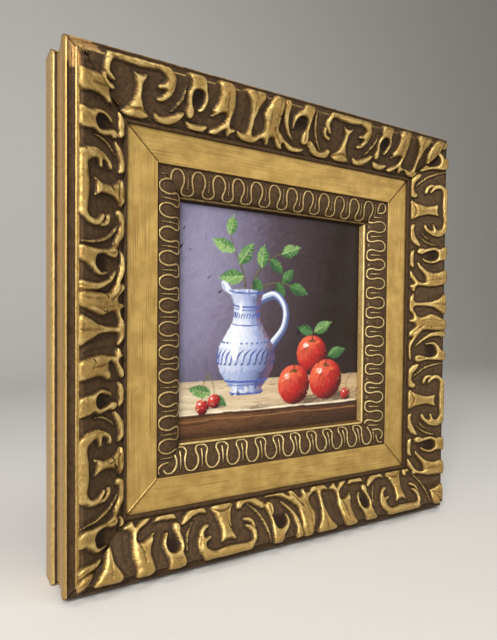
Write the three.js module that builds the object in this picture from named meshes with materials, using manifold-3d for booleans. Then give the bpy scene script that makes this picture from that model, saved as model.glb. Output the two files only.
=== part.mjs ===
// Framed oil painting: a square panel in a carved, gilded frame made of two nested mitred mouldings.
// Millimetres, +Z up. The picture faces -Y and the wall plane is y = 0.
// The origin is the hanging point: the middle of the top length's flat back.
import * as THREE from 'three';
import { mergeVertices } from 'three/addons/utils/BufferGeometryUtils.js';
import Module from 'manifold-3d';

const wasm = await Module();
wasm.setup();

// ---- driving dimensions (mm) -------------------------------------------------------------
// A is the distance from the picture's centre line, D the distance from the wall.
const MOUNT_A = 129.5;          // the hanging point above the picture's centre
const MITRE_GAP = 0.15;         // half the open joint between two mitred lengths

// outer moulding
const OUT_BACK_A = 145.0;       // rear edge, the widest line of the frame
const OUT_BACK_D = 13.2;        // height of the plain rear band
const BAND_A = 143.8;           // front arris of the gilt rear band
const BAND_D = 16.3;
const COVE_A = 141.9;           // bottom of the side cove
const COVE_D = 19.5;
const LIP_A = 143.1;            // flared front lip
const LIP_D = 39.3;
const GROOVE_OUT_A = 140.6;     // shallow groove behind the lip
const GROOVE_IN_A = 138.3;
const GROOVE_D = 38.5;
const BEAD_A = 136.4;           // flat bead at the foot of the carving
const BEAD_D = 40.1;
const CREST_A = 135.2;          // crest of the carving's ground
const CREST_D = 43.9;
const TOE_A = 110.9;            // inner foot of the sloping ground
const TOE_D = 31.0;
const FILLET_D = 31.9;          // plain fillet beside the gilt flat
const OUT_IN_A = 108.0;         // inner edge of the outer moulding
const SHELF_D = 30.0;           // rebate shelf resting on the liner
const REBATE_A = 114.0;         // rebate wall of the outer moulding

// liner moulding
const LINER_OUT_A = 113.7;
const FLAT_D = 30.0;            // gilt flat
const FLAT_IN_A = 90.0;
const STRIP_OUT_A = 89.2;       // cushioned strip falling from the flat to the sight edge
const STRIP_OUT_D = 28.1;
const STRIP_IN_A = 74.9;
const STRIP_IN_D = 24.0;
const STRIP_CROWN = 2.07;       // how far the cushion stands above the line between its edges
const SIGHT_A = 73.1;           // sight edge
const SIGHT_D = 22.6;
const BEVEL_A = 71.8;           // foot of the sight bevel, on the picture
const PICTURE_D = 18.5;         // face of the picture
const PANEL_REBATE_A = 77.2;
const LINER_BACK_D = 10.0;

// picture panel
const PANEL_SIDE = 152.4;
const PANEL_THICK = 3.2;

// carved ornament: u runs along a length (clockwise round the frame), v down the slope
const PERIOD = 145.0;           // one repeat, spool to spool
const RELIEF = 2.0;             // height of the leaves above their ground
const DRAFT = 0.45;             // each side of a leaf slopes in by this much over its height
const ROOT = 5.2;               // how far a leaf is let into the ground
const WALL_A = 136.1;           // the leaves' outer faces
const V_ZERO_A = 138.0;         // v = 0 on the slope's line
const PHASE = { top: -32.5, right: -13.75, bottom: -22.75, left: -3.25 };

// ---- helpers ------------------------------------------------------------------------------
function solidFrom(positions, index) {
  const geometry = new THREE.BufferGeometry();
  geometry.setAttribute('position', new THREE.Float32BufferAttribute(positions, 3));
  geometry.setIndex(index);
  const merged = mergeVertices(geometry, 1e-4);
  return new wasm.Manifold(new wasm.Mesh({
    numProp: 3,
    vertProperties: new Float32Array(merged.attributes.position.array),
    triVerts: new Uint32Array(merged.index.array),
  }));
}

function geometryFrom(solid) {
  const mesh = solid.getMesh();
  const geometry = new THREE.BufferGeometry();
  const xyz = [];
  for (let i = 0; i < mesh.vertProperties.length; i += mesh.numProp) {
    xyz.push(mesh.vertProperties[i], mesh.vertProperties[i + 1], mesh.vertProperties[i + 2]);
  }
  geometry.setAttribute('position', new THREE.Float32BufferAttribute(xyz, 3));
  geometry.setIndex(Array.from(mesh.triVerts));
  geometry.computeVertexNormals();
  return geometry;
}

// A mitred length: a closed profile of [A, D] points, swept along u between the two mitres.
// Built in the frame (u, A, D), which is right-handed.
function mitredLength(profile) {
  const n = profile.length;
  const positions = [];
  for (const side of [-1, 1]) {
    for (const [a, d] of profile) positions.push(side * (a - MITRE_GAP * Math.SQRT2), a, d);
  }
  const contour = profile.map(([a, d]) => new THREE.Vector2(a, d));
  const area = THREE.ShapeUtils.area(contour);
  const caps = THREE.ShapeUtils.triangulateShape(contour, []);
  const index = [];
  const face = (i, j, k) => (area > 0 ? index.push(i, j, k) : index.push(i, k, j));
  for (const [i, j, k] of caps) {
    face(i + n, j + n, k + n);
    face(i, k, j);
  }
  for (let i = 0; i < n; i++) {
    const j = (i + 1) % n;
    face(i, j, j + n);
    face(i, j + n, i + n);
  }
  return solidFrom(positions, index);
}

// The carving's ground line, as a plane in (v, h): h is the height above the ground.
const slopeLength = Math.hypot(CREST_A - TOE_A, CREST_D - TOE_D);
const slopeA = (CREST_A - TOE_A) / slopeLength;
const slopeD = (CREST_D - TOE_D) / slopeLength;
function onSlope(u, v, h) {
  const a = V_ZERO_A - v * slopeA + h * -slopeD;
  const dGround = CREST_D - (CREST_A - (V_ZERO_A - v * slopeA)) * (slopeD / slopeA);
  return [u, a, dGround + h * slopeA];
}

// A leaf: a tapering bar through stations [u, v, width], with drafted sides, let into the ground.
function leaf(stations, shift) {
  const n = stations.length;
  const positions = [];
  for (let i = 0; i < n; i++) {
    const [u, v, w] = stations[i];
    const p = stations[Math.max(0, i - 1)];
    const q = stations[Math.min(n - 1, i + 1)];
    const length = Math.hypot(q[0] - p[0], q[1] - p[1]);
    const nu = -(q[1] - p[1]) / length;
    const nv = (q[0] - p[0]) / length;
    const top = Math.max(w / 2 - DRAFT, 0.3);
    const root = top + DRAFT * (1 + ROOT / RELIEF);
    for (const [half, h] of [[-root, -ROOT], [root, -ROOT], [top, RELIEF], [-top, RELIEF]]) {
      positions.push(...onSlope(u + shift + nu * half, v + nv * half, h));
    }
  }
  const index = [];
  const ring = 4;
  for (let i = 0; i < n - 1; i++) {
    for (let k = 0; k < ring; k++) {
      const a = i * ring + k;
      const b = i * ring + ((k + 1) % ring);
      index.push(a, a + ring, b, b, a + ring, b + ring);
    }
  }
  for (let k = 1; k < ring - 1; k++) {
    index.push(0, k, k + 1);
    const base = (n - 1) * ring;
    index.push(base, base + k + 1, base + k);
  }
  let made = solidFrom(positions, index);
  if (made.volume() < 0) {
    const flipped = [];
    for (let i = 0; i < index.length; i += 3) flipped.push(index[i], index[i + 2], index[i + 1]);
    made = solidFrom(positions, flipped);
  }
  return made;
}

// ---- the ornament's repeat, measured from the spool at u = 0 ------------------------------
function spool() {
  return [[[0, 9, 6.6], [0, 15.5, 4.4], [0, 22.5, 8], [0, 27.4, 13.6], [0, 30.4, 9.5]]];
}

function bracket() {
  return [
    [[-14, 4.2, 3.4], [11, 4.2, 3.2], [16, 6.4, 4.6], [17.4, 11, 3.4], [15.4, 16, 2.4], [11.2, 19.4, 1]],
    [[-12, 4, 3], [-17.4, 6.2, 3.4], [-18.2, 10.4, 2.4], [-15.8, 12.8, 2], [-13.2, 13.6, 1]],
    [[-19.4, 11.4, 1], [-18.4, 15.6, 2.4], [-15.4, 17.8, 2.4], [-12.4, 17.8, 1]],
  ];
}

function crescents() {
  return [
    [[11.2, 27, 1], [14.4, 28.6, 3.4], [19.4, 28, 3.6], [27, 23.4, 1]],
    [[-27.6, 23.6, 1], [-23.6, 28.2, 3], [-15.6, 29.8, 3.2], [-10.8, 26.8, 1.2]],
    [[30.6, 27.6, 1.8], [34, 28.6, 3.4], [39, 28.6, 3.4], [42.4, 27.8, 1.4]],
  ];
}

function eyes() {
  return [
    [[32.2, 2, 10], [33.2, 6.8, 7.4]],
    [[31, 7.2, 3], [29.4, 12, 1.6], [30.6, 17, 2.2], [31, 20.6, 3.6], [31, 23, 2]],
    [[35.2, 6.6, 3.2], [38.8, 11, 2], [38.6, 16, 1.6], [36.2, 20.2, 1]],
    [[-32.4, 2, 8], [-33.6, 7.4, 5.6]],
    [[-43, 10, 1.6], [-40.4, 7.4, 3], [-35.4, 7.2, 3.6], [-32.8, 12, 3], [-32.2, 18, 3.6], [-32.3, 24, 3.6]],
    [[-43, 9.6, 1.6], [-44.4, 13.4, 1.4], [-39.6, 22.2, 1]],
  ];
}

function acanthus() {
  return [
    [[50.6, 2, 11.6], [52.6, 9, 9], [53, 17.6, 6.6]],
    [[49, 9, 4], [48.2, 14.4, 3.6], [45.4, 19.2, 2.4], [39.8, 23.6, 1]],
    [[54.8, 13, 4], [55, 19, 3], [53.6, 24, 3], [46, 30, 1.6]],
    [[55, 22.6, 2.4], [58.6, 27.4, 2.2]],
    [[-57.4, 2, 11], [-59.8, 10, 11], [-58.4, 24.4, 9.6]],
    [[-63, 21, 3.4], [-61, 29, 2.2]],
    [[-57, 21.5, 4.6], [-49.2, 29.8, 1.8]],
    [[-54.4, 22.6, 3], [-47.6, 27.4, 3], [-37.4, 29.6, 3.4], [-31.6, 28.4, 1]],
    [[-51.4, 2, 3.8], [-51.6, 9, 3.6], [-49.8, 14.8, 2.8], [-44.2, 22.6, 1]],
  ];
}

function trumpet() {
  return [
    [[69.8, 2, 15], [70.1, 7, 7.2], [70.3, 12.5, 3.2], [70.5, 27, 2.8]],
    [[63.8, 27, 1], [67.6, 29.2, 3.8], [73.4, 29.2, 3.8], [77.4, 26.8, 1]],
  ];
}

// ---- profiles -----------------------------------------------------------------------------
const outerProfile = [
  [REBATE_A, 0],
  [OUT_BACK_A - 0.6, 0],
  [OUT_BACK_A, 0.6],
  [OUT_BACK_A, OUT_BACK_D],
  [OUT_BACK_A - 0.4, OUT_BACK_D + 2],
  [BAND_A, BAND_D],
  [COVE_A + 0.5, BAND_D + 0.3],
  [COVE_A, COVE_D],
  [COVE_A + 0.1, COVE_D + 4],
  [LIP_A - 0.5, 29.5],
  [LIP_A, 34],
  [LIP_A - 0.1, LIP_D - 2.4],
  [LIP_A - 0.8, LIP_D - 0.5],
  [LIP_A - 1.7, LIP_D],
  [GROOVE_OUT_A, GROOVE_D],
  [GROOVE_IN_A, GROOVE_D],
  [GROOVE_IN_A - 0.5, BEAD_D - 0.3],
  [BEAD_A, BEAD_D],
  [CREST_A + 0.3, BEAD_D - 0.3],
  [CREST_A, CREST_D],
  [TOE_A, TOE_D],
  [TOE_A - 0.5, TOE_D],
  [TOE_A - 0.9, FILLET_D],
  [OUT_IN_A + 0.4, FILLET_D],
  [OUT_IN_A, FILLET_D - 0.5],
  [OUT_IN_A, SHELF_D],
  [REBATE_A, SHELF_D],
];

const cushion = [0, 0.06, 0.16, 0.3, 0.45, 0.6, 0.74, 0.86, 0.95, 1].map((t) => {
  const w = t ** 1.25;
  return [
    STRIP_OUT_A + (STRIP_IN_A - STRIP_OUT_A) * t,
    STRIP_OUT_D + (STRIP_IN_D - STRIP_OUT_D) * t + STRIP_CROWN * (4 * w * (1 - w)) ** 0.75,
  ];
});
const linerProfile = [
  [PANEL_REBATE_A, LINER_BACK_D],
  [LINER_OUT_A, LINER_BACK_D],
  [LINER_OUT_A, FLAT_D],
  [FLAT_IN_A, FLAT_D],
  [FLAT_IN_A - 0.3, STRIP_OUT_D],
  ...cushion,
  [STRIP_IN_A - 0.3, SIGHT_D - 0.2],
  [SIGHT_A + 1.1, SIGHT_D],
  [SIGHT_A + 0.4, SIGHT_D - 0.1],
  [SIGHT_A, SIGHT_D - 0.5],
  [BEVEL_A, PICTURE_D],
  [PANEL_REBATE_A, PICTURE_D],
];

// ---- building the lengths -----------------------------------------------------------------
// Everything a leaf may fill: inside the mitres, inside the leaves' outer face.
const leafLimits = mitredLength([
  [OUT_IN_A + 2.6, SHELF_D + 0.4],
  [REBATE_A + 2, SHELF_D + 0.4],
  [WALL_A, SHELF_D + 4],
  [WALL_A - 0.4, CREST_D + 3.2],
  [OUT_IN_A + 2.6, CREST_D + 3.2],
]);

function outerLength(phase) {
  const leaves = [];
  for (let repeat = -2; repeat <= 2; repeat++) {
    const shift = phase + PERIOD * (repeat + 0.5);
    for (const motif of [spool, bracket, crescents, eyes, acanthus, trumpet]) {
      for (const stations of motif()) {
        const reach = stations.map(([u]) => u + shift);
        if (Math.min(...reach) > OUT_BACK_A || Math.max(...reach) < -OUT_BACK_A) continue;
        leaves.push(leaf(stations, shift));
      }
    }
  }
  const carving = leaves.reduce((all, one) => all.add(one)).intersect(leafLimits);
  return mitredLength(outerProfile).add(carving);
}

// Turn a length from (u, A, D) into its place: quarter turns clockwise seen from the front.
const PLACES = {
  top: ([u, a, d]) => [u, -d, a],
  right: ([u, a, d]) => [a, -d, -u],
  bottom: ([u, a, d]) => [-u, -d, -a],
  left: ([u, a, d]) => [-a, -d, u],
};

function place(geometry, side) {
  const position = geometry.attributes.position;
  for (let i = 0; i < position.count; i++) {
    const p = PLACES[side]([position.getX(i), position.getY(i), position.getZ(i)]);
    position.setXYZ(i, p[0], p[1], p[2]);
  }
  geometry.computeVertexNormals();
  return geometry;
}

const gilt = { color: 0xa8843e, roughness: 0.42, metalness: 0.75 };
const giltFlat = { color: 0xb99a5b, roughness: 0.45, metalness: 0.6 };
const paint = { color: 0x4a3a38, roughness: 0.4, metalness: 0.0 };

const picture = new THREE.Group();
picture.position.set(0, 0, -MOUNT_A);

for (const side of Object.keys(PLACES)) {
  const outer = new THREE.Mesh(
    place(geometryFrom(outerLength(PHASE[side])), side),
    new THREE.MeshStandardMaterial(gilt),
  );
  outer.name = `carved_moulding_${side}`;
  picture.add(outer);

  const liner = new THREE.Mesh(
    place(geometryFrom(mitredLength(linerProfile)), side),
    new THREE.MeshStandardMaterial(giltFlat),
  );
  liner.name = `liner_moulding_${side}`;
  picture.add(liner);
}

const panel = new THREE.Mesh(
  new THREE.BoxGeometry(PANEL_SIDE, PANEL_THICK, PANEL_SIDE),
  new THREE.MeshStandardMaterial(paint),
);
panel.name = 'painted_panel';
panel.position.set(0, -(PICTURE_D - PANEL_THICK / 2), 0);
picture.add(panel);

const framedPainting = new THREE.Group();
framedPainting.add(picture);

export default framedPainting;
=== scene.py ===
"""Framed oil painting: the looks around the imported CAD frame.

The carved outer mouldings, the looped strip of the liner and the painted panel are dense
meshes made here from named sizes and outlines. Lengths are in millimetres until MM turns
them into metres. A is the distance from the picture's centre line, D the distance from the
wall, u runs along a length (clockwise seen from the front) and v runs down the carved slope.
"""

import math

import bpy
import numpy as np
from mathutils import Matrix, Vector


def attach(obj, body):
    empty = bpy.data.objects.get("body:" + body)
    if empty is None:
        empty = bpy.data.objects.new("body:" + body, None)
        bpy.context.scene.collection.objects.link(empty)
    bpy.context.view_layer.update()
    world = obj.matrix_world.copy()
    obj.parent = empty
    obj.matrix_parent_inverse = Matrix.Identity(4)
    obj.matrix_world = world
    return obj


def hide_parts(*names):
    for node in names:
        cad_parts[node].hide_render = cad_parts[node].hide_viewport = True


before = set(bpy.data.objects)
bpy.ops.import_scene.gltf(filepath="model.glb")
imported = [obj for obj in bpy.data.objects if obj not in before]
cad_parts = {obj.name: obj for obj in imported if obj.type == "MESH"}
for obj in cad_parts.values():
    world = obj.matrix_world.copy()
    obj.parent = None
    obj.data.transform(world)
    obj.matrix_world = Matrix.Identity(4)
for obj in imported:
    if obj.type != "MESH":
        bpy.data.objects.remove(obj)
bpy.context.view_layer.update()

MM = 0.001
MOUNT_A = 129.5
GAP = 0.05 * math.sqrt(2)
SIDES = ("top", "right", "bottom", "left")
PHASE = {"top": -32.5, "right": -13.75, "bottom": -22.75, "left": -3.25}
PERIOD = 145.0

# ------------------------------------------------------------------ small tools


def rng(seed):
    return np.random.default_rng(seed)


def smoothstep(x, a, b):
    t = np.clip((x - a) / (b - a), 0, 1)
    return t * t * (3 - 2 * t)


def catmull(points, n, closed=False):
    """Catmull-Rom samples through the points, n per span."""
    p = np.asarray(points, float)
    if closed:
        ext = np.vstack([p[-1], p, p[0], p[1]])
        spans = len(p)
    else:
        ext = np.vstack([2 * p[0] - p[1], p, 2 * p[-1] - p[-2]])
        spans = len(p) - 1
    t = np.arange(n)[:, None] / n
    out = []
    for i in range(spans):
        a, b, c, d = ext[i], ext[i + 1], ext[i + 2], ext[i + 3]
        out.append(
            0.5
            * (
                2 * b
                + (c - a) * t
                + (2 * a - 5 * b + 4 * c - d) * t**2
                + (3 * b - a - 3 * c + d) * t**3
            )
        )
    out = np.vstack(out)
    return out if closed else np.vstack([out, p[-1]])


class Raster:
    """A field over (u, v) on a square grid, periodic in u if period is given."""

    def __init__(self, u0, u1, v0, v1, step, period=None):
        self.u0, self.v0, self.step, self.period = u0, v0, step, period
        self.nu = int(round((u1 - u0) / step)) + (0 if period else 1)
        self.nv = int(round((v1 - v0) / step)) + 1
        self.u = u0 + np.arange(self.nu) * step
        self.v = v0 + np.arange(self.nv) * step

    def blank(self, value=0.0):
        return np.full((self.nv, self.nu), float(value))

    def window(self, lo_u, hi_u, lo_v, hi_v):
        j0 = int(math.floor((lo_u - self.u0) / self.step))
        j1 = int(math.ceil((hi_u - self.u0) / self.step)) + 1
        i0 = max(0, int(math.floor((lo_v - self.v0) / self.step)))
        i1 = min(self.nv, int(math.ceil((hi_v - self.v0) / self.step)) + 1)
        cols = np.arange(j0, j1)
        if self.period is None:
            cols = cols[(cols >= 0) & (cols < self.nu)]
            wrapped = cols
        else:
            wrapped = cols % self.nu
        rows = np.arange(i0, i1)
        uu = self.u0 + cols * self.step
        vv = self.v0 + rows * self.step
        return rows[:, None], wrapped[None, :], uu[None, :], vv[:, None]

    def sample(self, field, u, v):
        x = (u - self.u0) / self.step
        y = np.clip((v - self.v0) / self.step, 0, self.nv - 1.0001)
        if self.period is not None:
            x = np.mod(x, self.nu)
            j0 = np.floor(x).astype(int)
            fx = x - j0
            j0 %= self.nu
            j1 = (j0 + 1) % self.nu
        else:
            x = np.clip(x, 0, self.nu - 1.0001)
            j0 = np.floor(x).astype(int)
            fx = x - j0
            j1 = j0 + 1
        i0 = np.floor(y).astype(int)
        fy = y - i0
        return (
            field[i0, j0] * (1 - fx) * (1 - fy)
            + field[i0, j1] * fx * (1 - fy)
            + field[i0 + 1, j0] * (1 - fx) * fy
            + field[i0 + 1, j1] * fx * fy
        )

    def blur(self, field, sigma):
        r = int(math.ceil(3 * sigma / self.step))
        k = np.exp(-0.5 * (np.arange(-r, r + 1) * self.step / sigma) ** 2)
        k /= k.sum()
        wide = np.pad(field, ((0, 0), (r, r)), mode="wrap" if self.period else "edge")
        out = sum(k[i] * wide[:, i : i + self.nu] for i in range(2 * r + 1))
        tall = np.pad(out, ((r, r), (0, 0)), mode="edge")
        return sum(k[i] * tall[i : i + self.nv, :] for i in range(2 * r + 1))


def stroke_sdf(raster, stations, far=6.0):
    """Signed distance to a tapering round-ended stroke through [u, v, width] stations."""
    s = catmull(stations, 14)
    field = raster.blank(far)
    for u, v, w in s:
        h = max(w, 0.05) / 2
        m = h + far
        i, j, uu, vv = raster.window(u - m, u + m, v - m, v + m)
        d = np.hypot(uu - u, vv - v) - h
        field[i, j] = np.minimum(field[i, j], d)
    return field


def outline_sdf(raster, outline, far=6.0, smooth=5):
    """Signed distance to a smooth closed outline, negative inside."""
    p = catmull(outline, smooth, closed=True)
    field = raster.blank(far)
    lo, hi = p.min(0) - far, p.max(0) + far
    i, j, uu, vv = raster.window(lo[0], hi[0], lo[1], hi[1])
    uu, vv = np.broadcast_arrays(uu, vv)
    best = np.full(uu.shape, far * far)
    inside = np.zeros(uu.shape, bool)
    q = np.roll(p, -1, axis=0)
    for (x0, y0), (x1, y1) in zip(p, q):
        dx, dy = x1 - x0, y1 - y0
        t = np.clip(((uu - x0) * dx + (vv - y0) * dy) / (dx * dx + dy * dy + 1e-12), 0, 1)
        best = np.minimum(best, (uu - x0 - t * dx) ** 2 + (vv - y0 - t * dy) ** 2)
        if y0 != y1:
            crosses = ((y0 > vv) != (y1 > vv)) & (uu < x0 + (vv - y0) * dx / dy)
            inside ^= crosses
    d = np.sqrt(best)
    d = np.where(inside, -d, d)
    field[i, j] = np.minimum(field[i, j], d)
    return field


# ------------------------------------------------------------------ the carved repeat

# Gilded leaves, as closed outlines in (u, v) from the spool at u = 0
SPOOL = [
    (-4.4, 8.6), (-2.2, 9.2), (0.2, 9.5), (2.0, 9.2), (3.7, 8.6), (3.3, 10.8), (2.6, 13.6),
    (2.4, 16.2), (2.8, 19.6), (3.8, 23.0), (5.2, 25.8), (6.9, 27.9), (6.8, 29.6), (4.0, 30.9),
    (0.0, 31.2), (-4.0, 31.0), (-6.8, 29.9), (-8.0, 28.4), (-6.2, 26.6), (-4.6, 24.2),
    (-3.4, 21.0), (-2.8, 17.5), (-2.9, 14.0), (-3.7, 10.8),
]
BRACKET = [
    (-15.4, 0.5), (-16.0, 2.4), (-18.0, 4.4), (-19.6, 6.6), (-20.0, 9.6), (-19.2, 12.0), (-17.0, 14.0),
    (-14.2, 15.4), (-13.0, 14.6), (-14.6, 12.6), (-16.2, 10.4), (-16.4, 7.9), (-15.2, 6.1),
    (-12.0, 5.4), (-6.0, 5.9), (0.0, 6.0), (5.0, 5.7), (9.0, 5.3), (11.6, 5.8), (13.6, 7.2),
    (14.4, 9.0), (13.2, 10.7), (10.2, 12.2), (10.6, 13.6), (13.2, 13.2), (14.7, 13.8),
    (14.3, 15.6), (12.8, 17.2), (10.8, 18.2), (10.4, 19.6), (12.0, 20.3), (14.6, 19.4),
    (17.2, 16.8), (19.0, 13.2), (19.8, 9.2), (19.0, 5.8), (17.2, 3.6), (16.0, 2.2), (15.6, 0.5),
]
HOOK = [
    (-19.8, 12.4), (-19.9, 14.8), (-18.8, 17.2), (-16.6, 18.9), (-14.0, 19.5), (-12.6, 18.6),
    (-13.6, 17.2), (-15.8, 16.2), (-17.2, 14.8), (-17.8, 13.0), (-18.8, 11.8),
]
EYE_RIGHT = [
    (26.4, 0.5), (27.0, 2.6), (28.0, 5.5), (28.8, 8.0), (27.7, 11.5), (28.0, 15.5), (28.8, 18.5),
    (28.2, 21.2), (28.9, 23.9), (30.8, 25.0), (32.6, 24.0), (33.1, 21.4), (32.2, 18.8), (31.0, 16.0),
    (30.3, 12.6), (31.2, 10.1), (33.6, 8.9), (36.1, 9.3), (37.8, 11.2), (38.2, 14.2),
    (37.2, 17.4), (35.9, 19.9), (37.1, 20.3), (39.3, 17.9), (40.4, 14.4), (40.0, 11.0),
    (38.6, 7.6), (38.0, 5.0), (37.8, 2.6), (38.0, 0.5),
]
EYE_LEFT = [
    (-38.4, 0.5), (-38.6, 3.0), (-40.4, 5.3), (-43.0, 7.2), (-45.2, 10.3), (-45.0, 14.2), (-43.9, 17.4),
    (-43.3, 16.6), (-43.6, 13.4), (-42.4, 10.8), (-40.2, 9.2), (-37.0, 8.8), (-34.6, 10.4), (-33.7, 13.6),
    (-34.0, 16.8), (-35.1, 19.6), (-35.6, 22.4), (-34.8, 24.6), (-32.6, 25.6), (-30.5, 24.9),
    (-29.7, 22.6), (-30.3, 19.6), (-31.3, 16.4), (-31.3, 9.0), (-30.6, 3.0), (-30.2, 0.5),
]
ACANTHUS_RIGHT = [
    (44.8, 0.5), (45.4, 2.8), (46.6, 6.0), (47.4, 10.0), (46.9, 14.0), (45.0, 17.6), (42.0, 20.8),
    (39.0, 23.5), (40.1, 24.5), (44.0, 22.7), (47.6, 19.9), (50.8, 18.3), (53.2, 18.1),
    (54.5, 19.6), (54.0, 22.2), (52.0, 24.6), (48.8, 26.4), (45.9, 28.4), (45.0, 30.5),
    (47.2, 31.4), (50.2, 30.3), (52.9, 28.1), (54.9, 27.0), (55.7, 28.6), (57.0, 30.7),
    (58.8, 29.0), (61.2, 27.7), (61.4, 26.0), (58.8, 25.3), (57.3, 23.2), (57.6, 19.5),
    (58.3, 15.0), (58.0, 10.0), (57.1, 6.0), (56.3, 2.8), (56.2, 0.5),
]
TRUMPET = [
    (61.4, 0.5), (62.8, 2.8), (65.6, 6.0), (67.9, 9.5), (69.3, 14.0), (69.8, 20.0), (69.7, 24.6),
    (68.2, 26.4), (65.4, 26.6), (62.8, 26.4), (64.4, 29.2), (67.8, 31.1), (71.4, 31.7),
    (75.2, 31.0), (77.8, 29.0), (79.2, 26.7), (77.0, 26.4), (74.2, 26.6), (72.8, 24.9),
    (72.7, 20.0), (73.4, 14.0), (74.9, 9.5), (77.2, 6.0), (79.4, 2.8), (80.2, 0.5),
]
ACANTHUS_LEFT = [
    (-60.8, 0.5), (-62.0, 2.8), (-64.4, 6.5), (-66.2, 11.0), (-66.3, 14.6), (-64.7, 18.4), (-64.0, 21.8),
    (-65.8, 24.4), (-68.4, 26.4), (-66.6, 27.9), (-63.9, 27.4), (-62.4, 28.5), (-61.0, 31.0),
    (-59.7, 28.9), (-59.1, 26.3), (-57.5, 25.1), (-55.9, 25.8), (-54.4, 28.0), (-52.2, 30.5),
    (-49.4, 31.6), (-48.0, 30.3), (-49.5, 28.1), (-47.8, 27.7), (-45.4, 29.7), (-41.6, 31.3),
    (-37.0, 31.4), (-33.0, 30.3), (-31.0, 28.3), (-34.8, 28.0), (-39.2, 27.9), (-43.4, 26.8),
    (-47.4, 24.6), (-51.2, 21.7), (-53.8, 19.1), (-54.3, 15.0), (-54.2, 11.0), (-53.8, 7.0),
    (-53.8, 2.8), (-53.6, 0.5),
]
BLADE = [
    (-54.4, 0.5), (-54.0, 3.0), (-53.4, 8.0), (-52.3, 13.0), (-49.6, 17.8), (-45.6, 22.2), (-41.6, 25.0),
    (-43.6, 21.8), (-46.9, 17.4), (-48.8, 13.0), (-49.4, 8.0), (-48.4, 3.0), (-47.8, 0.5),
]
CRESCENT_RIGHT = [
    (10.6, 26.4), (14.4, 27.2), (18.8, 26.2), (22.4, 24.2), (26.0, 22.4), (27.6, 23.2),
    (25.3, 27.2), (21.0, 30.3), (16.0, 31.6), (12.4, 30.9), (10.6, 28.7),
]
TONGUE = [
    (29.8, 26.8), (33.0, 26.8), (38.0, 27.1), (43.0, 26.8), (42.8, 28.8), (40.0, 31.1),
    (35.8, 31.7), (31.8, 30.6), (30.0, 28.8),
]
CRESCENT_LEFT = [
    (-28.6, 22.6), (-27.6, 26.6), (-24.2, 30.0), (-19.6, 31.9), (-14.4, 31.8), (-10.8, 29.9),
    (-9.6, 26.8), (-10.3, 24.9), (-12.4, 24.6), (-14.0, 26.2), (-16.8, 27.3), (-20.2, 26.8),
    (-23.2, 24.7), (-26.2, 22.6),
]
# How each length differs: spool's waist, the reach of the side branch, how far down the carving sits
WAIST = {"top": 0.62, "right": 1.28, "bottom": 1.42, "left": 0.95}
HEAD = {"top": 0.98, "right": 1.04, "bottom": 1.25, "left": 1.12}
BRANCH = {"top": 0.35, "right": 1.0, "bottom": 0.45, "left": 0.3}
DROP = {"top": -0.9, "right": 0.0, "bottom": 0.3, "left": 0.0}
# ... and how much further down the middle of the slope its leaves sit
SAG = {"top": 0.1, "right": -0.2, "bottom": 0.1, "left": 1.7}
# Fine cracks and one worn spot, by length: [u, v, width]
CRACKS = {
    "left": [
        [(5.2, 16.2, 0.3), (6.2, 13.6, 0.4), (8.6, 12.6, 0.3), (11.0, 13.8, 0.4), (11.6, 16.2, 0.3), (9.8, 18.0, 0.3)],
        [(4.4, 17.6, 0.3), (8.0, 17.0, 0.4), (12.6, 18.2, 0.3), (16.4, 15.8, 0.2)],
        [(-80.0, 25.5, 0.3), (-77.5, 23.5, 0.4), (-75.5, 23.0, 0.4), (-73.5, 22.3, 0.3)],
        [(-75.5, 23.0, 0.4), (-76.2, 20.5, 0.3), (-75.0, 18.5, 0.2)],
        [(-78.0, 28.6, 0.3), (-76.0, 26.8, 0.4), (-72.4, 27.4, 0.3)],
        [(69.0, 23.6, 0.3), (70.8, 21.4, 0.4), (72.6, 21.8, 0.2)],
        [(-24.0, 8.2, 0.2), (-21.6, 9.6, 0.3), (-19.6, 9.0, 0.2)],
    ],
    "top": [
        [(-54.5, 12.5, 0.3), (-54.6, 9.5, 0.4), (-53.6, 7.0, 0.3), (-52.0, 6.6, 0.4), (-51.6, 9.0, 0.3), (-52.4, 12.0, 0.4), (-53.6, 13.2, 0.3)],
        [(-19.6, 10.4, 0.3), (-17.0, 11.6, 0.4), (-14.6, 11.0, 0.2)],
    ],
    "right": [[(-1.4, 12.6, 0.2), (0.6, 13.8, 0.3), (2.8, 13.2, 0.2)]],
    "bottom": [
        [(46.2, 14.6, 0.2), (48.0, 17.2, 0.4), (48.6, 21.4, 0.3), (50.4, 23.6, 0.2)],
        [(-10.0, 12.8, 0.2), (-8.2, 14.6, 0.3), (-7.6, 17.6, 0.2)],
    ],
}


def outlines(side):
    """(outline, height, edge radius) for one length's leaves."""
    k = WAIST[side]
    head = HEAD[side]
    spool = []
    for u, v in SPOOL:
        foot = min(1.0, max(0.0, (v - 21.0) / 7.0))
        top = min(1.0, max(0.0, (13.5 - v) / 4.0))
        spool.append((u * (k + (1.0 - k) * foot + (head - k) * top), v))
    reach = BRANCH[side]
    acanthus = list(ACANTHUS_RIGHT)
    for i in (6, 7, 8, 9):  # the side branch shrinks back towards the leaf
        u, v = acanthus[i]
        acanthus[i] = (u + (1 - reach) * (48.0 - u), v - (1 - reach) * (v - 18.2) * 0.8)
    return [
        (spool, 2.9, 2.5),
        (BRACKET, 2.7, 1.8),
        (HOOK, 2.3, 1.3),
        (EYE_RIGHT, 2.9, 1.6),
        (EYE_LEFT, 2.9, 1.7),
        (acanthus, 3.2, 3.0),
        (TRUMPET, 2.9, 2.2),
        (ACANTHUS_LEFT, 3.3, 3.2),
        (BLADE, 2.8, 2.0),
        (CRESCENT_RIGHT, 2.6, 1.9),
        (TONGUE, 2.5, 1.9),
        (CRESCENT_LEFT, 2.6, 1.9),
    ]


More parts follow.
